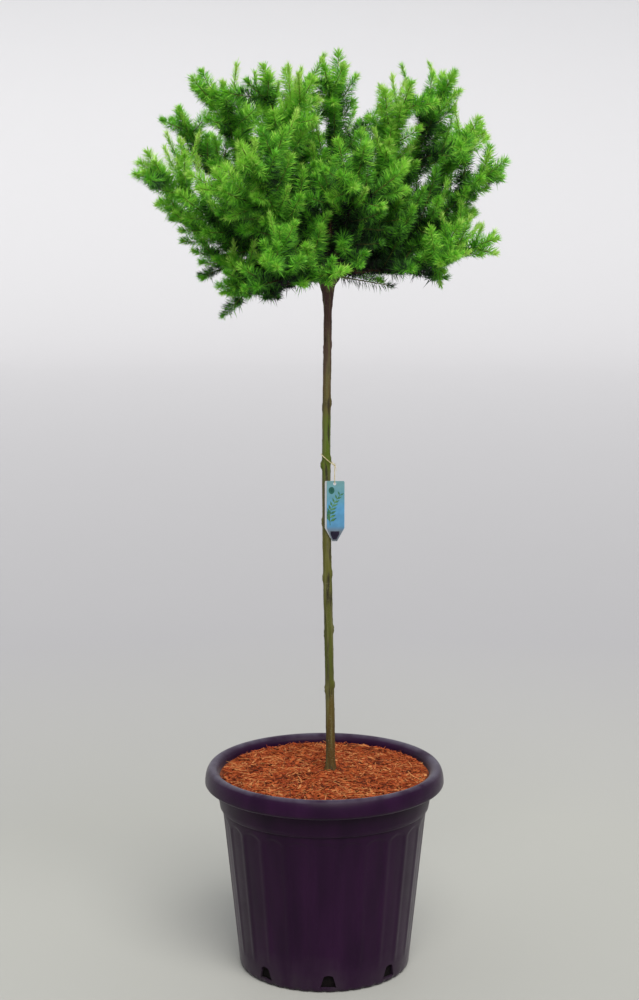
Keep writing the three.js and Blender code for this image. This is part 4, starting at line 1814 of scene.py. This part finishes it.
@dataclass
class Mulch:
    """The pot's filling, with a loose layer of shredded bark on top."""

    pot_floor: float = 4.3
    foot_radius: float = 150
    body_top_radius: float = 180.4
    body_top: float = 301.5
    neck_radius: float = 188.3
    neck_height: float = 336
    edge_radius: float = 191
    edge: float = 361
    shoulder: float = 365
    shoulder_radius: float = 102
    top: float = 366
    pad_radius: float = 28
    below_bark: float = 1.2
    kinds: tuple[Splinters, ...] = (
        Splinters(5200, 300.5, (4, 15), (1.8, 5.0), (0.7, 2.0)),
        Splinters(3000, 500.5, (12, 38), (0.8, 1.9), (0.6, 1.2)),
    )
    tone_steps: tuple[float, ...] = (0.09, 0.45, 0.86)
    clumps: int = 16
    clump_radius: float = 5.5
    steepness: float = 0.42
    tilting: float = 1.5
    bending: float = 0.22
    heap: float = 2.2
    sections: tuple[tuple[float, float], ...] = ((-0.5, 0.45), (0.05, 1.0), (0.5, 0.35))
    stem_x: float = 11
    stem_space: float = 13

    def surface(self, radius: Array) -> Array:
        """The height of the filling's top at a distance from the middle.

        Args:
            radius: The distance, or several.

        Returns:
            The height there.
        """
        inner = mixed(self.top, self.shoulder, between(self.pad_radius, self.shoulder_radius, radius))
        fall = (self.shoulder - self.edge) * between(self.shoulder_radius, self.edge_radius, radius)
        return inner - fall

    def build_filling(self) -> None:
        """Makes the filling below the loose bark, with an uneven top."""
        radii = np.linspace(self.edge_radius, 4, 60)
        rows = [(0, self.pot_floor), (self.foot_radius, self.pot_floor)]
        rows += [(self.body_top_radius, self.body_top), (self.neck_radius, self.neck_height)]
        rows += [*zip(radii, self.surface(radii) - self.below_bark), (0, self.top - self.below_bark)]
        points, quads, caps = turned_form(np.array(rows, float), 144)
        radius = np.hypot(points[:, 0], points[:, 1])
        turn = np.arctan2(points[:, 1], points[:, 0]) / (2 * math.pi)
        lumps = ripple(turn, radius / 14, 40, 71) * 1.3 + ripple(turn, radius / 6, 90, 72) * 0.8
        clear = between(self.edge_radius, self.edge_radius - 12, radius)
        points[:, 2] += np.where(points[:, 2] > self.edge - 3, (lumps - 0.6) * clear, 0)
        finish = PottingMix(
            "fine bark and peat", (0.085, 0.024, 0.01), (0.27, 0.066, 0.024), roughness=0.95,
            patches=150, grain=700, relief=0.0012,
        )
        mesh = one_mesh("pot_filling", 60, points, quads, caps)
        place_piece(mesh, finish, ["bark_mulch"])

    def places(self, count: int, seed: float, room: float) -> tuple[Array, Array]:
        """Places for loose pieces, spread evenly over the filling and clear of the stem.

        Args:
            count: How many places are tried.
            seed: The number that the chances are drawn with.
            room: How far they stay from the rim.

        Returns:
            The places and the numbers of the pieces that have one.
        """
        number = np.arange(count)
        radius = np.sqrt(chance(number, seed)) * (self.edge_radius - room)
        turn = chance(number, seed + 1) * 2 * math.pi
        x, y = radius * np.cos(turn), radius * np.sin(turn)
        clear = np.hypot(x - self.stem_x, y) > self.stem_space
        return np.stack([x, y, self.surface(radius)], axis=1)[clear], number[clear]

    def in_clumps(self, spots: Array) -> Array:
        """Whether places lie in one of the few dark clumps.

        Args:
            spots: The places.

        Returns:
            Whether each does.
        """
        centres, _ = self.places(self.clumps, 700.5, 14)
        apart = np.linalg.norm(spots[:, None, :2] - centres[None, :, :2], axis=2)
        return apart.min(axis=1) < self.clump_radius

    def build_bark(self) -> None:
        """Makes the loose chips and fibres, dealt out over the colours."""
        gathered = [Gathering() for _ in BarkTone]
        faces = (ring_faces(3, 4), np.array([[3, 2, 1, 0], [8, 9, 10, 11]]))
        for kind in self.kinds:
            spots, number = self.places(kind.count, kind.seed, 6)
            mottled = chance(number, kind.seed + 2) + 0.15 * clumps(spots * 2.3)
            tone = np.where(self.in_clumps(spots), 0, np.digitize(mottled, self.tone_steps))
            boxes = self.loose(kind, spots, number)
            for k, some in enumerate(gathered):
                for points in boxes[tone == k]:
                    some.add(points, *faces)
        for tone, some in zip(BarkTone, gathered):
            name = tone.name.lower()
            finish = Finish(
                f"{name} bark chips", *tone.value, roughness=0.9, patches=160, grain=1400, relief=0.0004
            )
            place_piece(some.mesh(f"bark_chips_{name}", 35), finish, ["bark_mulch"])

    def loose(self, kind: Splinters, spots: Array, number: Array) -> Array:
        """Torn splinters: three four-cornered sections each, bent and narrowed at the ends.

        Args:
            kind: Their kind.
            spots: Where they lie.
            number: Their numbers.

        Returns:
            Twelve points for each.
        """
        draws = [chance(number, kind.seed + 3 + k) for k in range(8)]
        turn = draws[0] * 2 * math.pi
        rise = (draws[1] - 0.35) * self.steepness
        along = np.stack([np.cos(turn) * np.cos(rise), np.sin(turn) * np.cos(rise), np.sin(rise)], 1)
        side, over = across(along, UP)
        tilt = (draws[2] - 0.5) * self.tilting
        length = mixed(*kind.lengths, draws[3] ** 1.7)
        width = mixed(*kind.widths, draws[4])
        depth = mixed(*kind.depths, draws[5])
        outside = np.hypot(spots[:, 0], spots[:, 1]) + length / 2 - self.edge_radius + 3
        centre = spots - unit(spots * [1, 1, 0]) * np.clip(outside, 0, None)[:, None]
        centre[:, 2] += depth * 0.2 + self.heap * draws[6] ** 2 + np.abs(np.sin(rise)) * length * 0.35
        wide, deep = swung(side, over, tilt), swung(over, -side, tilt) * depth[:, None]
        bend = wide * ((draws[7] - 0.5) * length * self.bending)[:, None]
        points = np.empty((len(spots), 3, 4, 3))
        for section, (place, share) in enumerate(self.sections):
            middle = centre + along * (place * length)[:, None] + bend * (section == 1)
            w, d = wide * (width * share / 2)[:, None], deep * (max(share, 0.6) / 2)
            skew = along * (either_way(number, kind.seed + 20 + section) * width * 0.5)[:, None]
            corners = (-w - d - skew, w - d + skew, w + d + skew, -w + d - skew)
            points[:, section] = np.stack([middle + corner for corner in corners], axis=1)
        return points.reshape(len(spots), 12, 3)

    def build(self) -> None:
        """Makes the filling and the bark on it."""
        self.build_filling()
        self.build_bark()


@dataclass
class Label:
    """A folded plastic card with a pointed end, which hangs on the stem by a strand of raffia."""

    x: float = 18
    front: float = -12.2
    back: float = -11.0
    top: float = 904
    height: float = 109
    width: float = 35
    taper: float = 24
    tip_width: float = 9
    leaf: float = 0.45
    margin: float = 3.4
    hole_drop: float = 5
    hole_radius: float = 2.8
    corner: float = 2.0

    def outline(self, left: float, right: float) -> list[tuple[float, float]]:
        """The leaf's outline with rounded top corners, from the top left on.

        Args:
            left: The leaf's left edge.
            right: Its right edge.

        Returns:
            Its corners, across and up.
        """
        r, top, low = self.corner, self.top, self.top - self.height
        corners = quarter((right - r, top - r), (r, r), 0, 90, 5)
        corners += quarter((left + r, top - r), (r, r), 90, 180, 5)
        foot = [(left, low + self.taper), (self.x - self.tip_width / 2, low)]
        foot += [(self.x + self.tip_width / 2, low), (right, low + self.taper)]
        return corners + foot

    def leaf_mesh(self, name: str, left: float, right: float, y: float) -> bpy.types.Mesh:
        """One leaf of the card.

        Args:
            name: The mesh's name.
            left: Its left edge.
            right: Its right edge.
            y: Its front face.

        Returns:
            The mesh in metres.
        """
        form = bmesh.new()
        hole = self.oval(self.x, self.top - self.hole_drop, self.hole_radius, self.hole_radius, 24)
        edges = []
        for ring in (self.outline(left, right), hole):
            corners = [form.verts.new((x * MM, y * MM, z * MM)) for x, z in ring]
            edges += [form.edges.new(pair) for pair in zip(corners, corners[1:] + corners[:1])]
        bmesh.ops.triangle_fill(form, use_beauty=True, use_dissolve=False, edges=edges)
        grown = bmesh.ops.extrude_face_region(form, geom=form.faces[:])
        moved = [item for item in grown["geom"] if isinstance(item, bmesh.types.BMVert)]
        bmesh.ops.translate(form, verts=moved, vec=(0, self.leaf * MM, 0))
        bmesh.ops.recalc_face_normals(form, faces=form.faces[:])
        mesh = bpy.data.meshes.new(name)
        form.to_mesh(mesh)
        form.free()
        mesh.shade_flat()
        return mesh

    def build(self) -> None:
        """Makes the printed leaf, the white leaf behind it and the fold that joins them."""
        left, right = self.x - self.width / 2, self.x + self.width / 2
        low = (self.top - self.height) * MM
        printed = PrintedCard(
            "printed card", (0.2, 0.45, 0.6), (0.3, 0.6, 0.75), roughness=0.32, patches=90, grain=400,
            relief=0.00004,
            bands=(
                (low, (0.13, 0.15, 0.17)),
                (low + 0.018, (0.16, 0.2, 0.24)),
                (low + 0.027, (0.1, 0.28, 0.47)),
                (low + 0.062, (0.11, 0.33, 0.55)),
                (low + 0.078, (0.13, 0.33, 0.42)),
                (low + 0.11, (0.17, 0.34, 0.35)),
            ),
        )
        plain = Finish(
            "white card", (0.4, 0.43, 0.44), (0.48, 0.5, 0.5), roughness=0.35, grain=400, relief=0.00004
        )
        line = np.array([[left + self.margin, 0, z] for z in (self.top - 2.5, low / MM + self.taper + 2)])
        line[:, 1] = (self.front + self.back) / 2
        fold = tube(np.linspace(*line, 8), np.full(8, 0.55), 10)
        pieces = (
            (self.leaf_mesh("label_front", left + self.margin, right, self.front), printed),
            (self.leaf_mesh("label_back", left, right - 1.5, self.back - self.leaf), plain),
            (one_mesh("label_fold", 50, *fold), plain),
        )
        for mesh, finish in pieces:
            place_piece(mesh, finish, ["label"])
        self.build_print()

    def sprig(self) -> list[Array]:
        """The outlines of a plain sprig: a curved stalk with leaflets on both sides.

        Returns:
            The corners of each shape, across and up.
        """
        foot, rise = np.array([self.x - 8, self.top - 80]), np.array([17, 54])
        at = np.linspace(0, 1, 9)
        line = foot + at[:, None] * rise + np.stack([-7 * np.sin(at * math.pi), 0 * at], axis=1)
        shapes = [np.concatenate([line - [0.6, 0], (line + [0.6, 0])[::-1]])]
        for k in range(1, 9):
            size = 15 - 0.8 * k
            for turn in (28, 112):
                out = heading(turn, 0)[:2] * size
                side = np.array([-out[1], out[0]]) * 0.19
                middle = line[k] + out * 0.45
                shapes.append(np.array([line[k], middle - side, line[k] + out, middle + side]))
        return shapes

    def oval(self, x: float, z: float, wide: float, high: float, count: int) -> Array:
        """The outline of an upright oval, by its middle, half its width and height."""
        angles = np.arange(count) / count * 2 * math.pi
        return np.stack([x + wide * np.cos(angles), z + high * np.sin(angles)], axis=1)

    def build_print(self) -> None:
        """Makes the plain motifs on the front leaf: a sprig, a disc and a dark foot."""
        left, low = self.x - self.width / 2 + self.margin, self.top - self.height
        foot = [(-3.2, 3), (3.2, 3), (8.4, 13), (8.4, 18), (-7.4, 18), (-7.4, 13)]
        disc = self.oval(left + 8.5, self.top - 17, 5.2, 6.4, 32)
        prints = {
            "sprig": (self.sprig(), (0.03, 0.13, 0.075), (0.11, 0.26, 0.1), 0.1),
            "disc": ([disc], (0.02, 0.09, 0.07), (0.035, 0.15, 0.1), 0.14),
            "foot": ([np.array(foot) + [self.x, low]], (0.012, 0.01, 0.022), (0.022, 0.016, 0.036), 0.1),
        }
        for name, (shapes, dark, light, proud) in prints.items():
            gathered = Gathering()
            for shape in shapes:
                y = np.full(len(shape), self.front - proud)
                points = np.stack([shape[:, 0], y, shape[:, 1]], axis=1)
                gathered.add(points, np.arange(len(shape))[None, :])
            ink = Finish(
                f"printed {name}", dark, light, roughness=0.34, patches=140, grain=500, relief=0.00003
            )
            place_piece(gathered.mesh(f"label_{name}"), ink, ["label"])


@dataclass
class Tie:
    """The raffia strand: a slanting ring round the stem with a loop through the label's hole."""

    stem: Stem
    label: Label
    strand: float = 0.8
    height: float = 940
    slant: float = 10.5
    right_x: float = 19
    clearance: float = 0.62
    depth: float = 10
    loop_width: float = 5
    loop_play: float = 1.3
    loop_top_y: float = -5
    fibres: int = 4
    fibre_radius: float = 0.4
    twists: int = 7
    steps: int = 140
    tail: float = 26
    tail_leans: tuple[float, ...] = (-0.5, 0.35, 0.9)

    def oval(self, centre: Array, half_a: Array, half_b: Array) -> Path:
        """A closed line along an oval in the plane of two half axes, by turns."""
        return lambda turns: centre + swung(half_a, half_b, turns * 2 * math.pi)

    def twisted(self, gathered: Gathering, path: Path) -> None:
        """Adds thin fibres that wind round each other along a closed line.

        Args:
            gathered: Where they are added.
            path: The line, by turns.
        """
        turns = np.linspace(0, 1, self.steps)
        centres = path(turns)
        tangents = unit(path(turns + 0.002) - path(turns - 0.002))
        normal = unit(np.cross(centres[0] - centres[self.steps // 3], tangents[0]))
        side = unit(np.cross(tangents, normal))
        radius = self.strand - self.fibre_radius
        for k in range(self.fibres):
            angle = (turns * self.twists + k / self.fibres) * 2 * math.pi
            wander = radius * (0.8 + 0.3 * ripple(turns, turns * 9, 9, 80 + k))
            line = centres + swung(side, normal, angle) * wander[:, None]
            thickness = self.fibre_radius * (1 + 0.25 * ripple(turns, turns * 14, 14, 90 + k))
            gathered.add(*tube(line, thickness, 6))

    def build(self) -> None:
        """Makes the tie in place of its solid."""
        stem, label = self.stem, self.label
        edge = stem.middle_x(self.height) - stem.radius(self.height)
        left_x = float(edge) - self.clearance - self.strand
        middle = np.array([(left_x + self.right_x) / 2, 0, self.height])
        half_width = np.array([(self.right_x - left_x) / 2, 0, -self.slant])
        gathered = Gathering()
        self.twisted(gathered, self.oval(middle, half_width, np.array([0, self.depth, 0])))
        hang = label.top - label.hole_drop + label.hole_radius - self.loop_play - self.strand
        low = np.array([label.x, label.front + 0.6, hang])
        high = np.array([label.x, self.loop_top_y, self.height - self.slant + self.strand])
        half = (high - low) / 2
        wide = unit(np.array([0, half[2], -half[1]])) * self.loop_width
        self.twisted(gathered, self.oval(low + half, half, wide))
        at = np.linspace(0, 1, 14)[:, None]
        drop = np.array([0.1, 0.1, -0.75])
        for k, lean in enumerate(self.tail_leans):
            start = high + np.array([0.6 * k, -1.2, 1.0])
            out = np.array([0.32 - 0.25 * k, -0.55, lean])
            size = self.tail * (0.55 + 0.2 * k)
            line = start + (out * at * 0.6 + drop * at**2 * 0.5) * size
            gathered.add(*tube(line, mixed(0.45, 0.2, at[:, 0]), 5, 0.3))
        finish = Finish(
            "raffia", (0.5, 0.42, 0.2), (0.72, 0.64, 0.38), roughness=0.75, patches=260, grain=1600,
            stretch=(1.0, 1.0, 0.3),
        )
        place_piece(gathered.mesh("raffia_tie", 60), finish, ["label_tie"])


@dataclass(frozen=True)
class FloorPaint(Finish):
    """A matt floor whose colour changes from its edge to its middle.

    Attributes:
        radius: Where the floor ends, in metres.
        stops: Shares of the radius, from the outside in, with the floor's colour there.
    """

    radius: float = 12.0
    stops: Stops = ()

    def make(self, paint: Paint) -> bpy.types.Material:
        """Makes the material.

        Args:
            paint: The material as it is begun.

        Returns:
            The material.
        """
        small = paint.stretched((1 / self.radius,) * 3)
        rings = paint.add("TexGradient", {"Vector": small}, gradient_type="SPHERICAL")
        share = paint.sum(rings.outputs["Fac"], paint.noise(self.patches, 2), 0.02)
        return paint.done(paint.ramp(share, *self.stops), paint.noise(self.grain, 2), self.relief)


@dataclass
class Studio:
    """A plain pale floor that turns up far out, soft lights, and the camera. In metres."""

    floor_radius: float = 9.0
    cove_radius: float = 3.0
    wall_height: float = 7.0
    key_from: Triple = (0.24, -0.8, 1.0)
    key_colour: Colour = (1.0, 0.985, 0.955)
    key_strength: float = 2.95
    key_softness: float = 44
    air_colour: Colour = (0.95, 0.97, 1.0)
    air: float = 0.66
    camera_place: Triple = (-0.009, -3.85, 1.57)
    camera_pitch: float = 10.34
    focal_pixels: float = 2192
    image_height: float = 1000
    sensor: float = 36

    def build_floor(self) -> None:
        """Makes the floor."""
        rows = [(r, 0.0) for r in (0.02, *np.geomspace(0.3, self.floor_radius, 12))]
        cove = quarter((self.floor_radius, self.cove_radius), (self.cove_radius,) * 2, -90, 0, 14)
        edge = self.floor_radius + self.cove_radius
        profile = np.array([(0, 0), *rows, *cove[1:], (edge, self.wall_height), (0, 0)]) / MM
        points, quads, caps = turned_form(profile, 96)
        mesh = one_mesh("studio_floor", 60, points, quads[:, ::-1], caps[:96, ::-1])
        finish = FloorPaint(
            "pale floor", (0.5, 0.5, 0.49), (0.5, 0.5, 0.49), patches=1.5, grain=260, relief=0.00005,
            radius=edge,
            # Painted light: the wall and far floor are made lighter than the floor a few metres out, and
            # the floor round the tree a little lighter than the ring around it, as if lit more strongly
            # there.
            stops=(
                (0.0, (0.565, 0.565, 0.58)),
                (0.25, (0.505, 0.5, 0.514)),
                (0.8, (0.395, 0.39, 0.4)),
                (0.93, (0.425, 0.425, 0.395)),
            ),
        )
        mesh.materials.append(finish.material())
        put(mesh)

    def add_key(self) -> None:
        """Adds the one broad, soft light, high at the front right."""
        data = bpy.data.lights.new("key", "SUN")
        data.energy = self.key_strength
        data.angle = math.radians(self.key_softness)
        data.color = self.key_colour
        light = put(data)
        x, y, z = self.key_from
        light.location = (x * 6, y * 6, z * 6)
        light.rotation_euler = (math.atan2(math.hypot(x, y), z), 0, math.atan2(y, x) + math.pi / 2)

    def add_air(self) -> None:
        """Fills the studio with even light from all around."""
        world = bpy.data.worlds.new("studio air")
        world.use_nodes = True
        background = world.node_tree.nodes["Background"]
        background.inputs["Color"].default_value = (*self.air_colour, 1.0)
        background.inputs["Strength"].default_value = self.air
        bpy.context.scene.world = world

    def build_camera(self) -> None:
        """Makes the camera at the viewpoint that was worked out for the tree."""
        data = bpy.data.cameras.new("camera")
        data.sensor_width = self.sensor
        data.lens = self.focal_pixels / self.image_height * self.sensor
        camera = put(data)
        camera.location = self.camera_place
        camera.rotation_euler = (math.radians(90 - self.camera_pitch), 0, 0)
        bpy.context.scene.camera = camera

    def build(self) -> None:
        """Makes the whole studio."""
        self.build_floor()
        self.build_camera()
        self.add_key()
        self.add_air()
        bpy.context.scene.view_settings.view_transform = "Standard"


def main() -> None:
    """Builds the tree, its pot and the studio, and reports each piece."""
    logging.basicConfig(level=logging.INFO, format="%(message)s")
    stem = Stem()
    label = Label()
    Studio().build()
    stem.build()
    Crown().build()
    Pot().build()
    Mulch().build()
    label.build()
    Tie(stem, label).build()


if __name__ == "__main__":
    main()
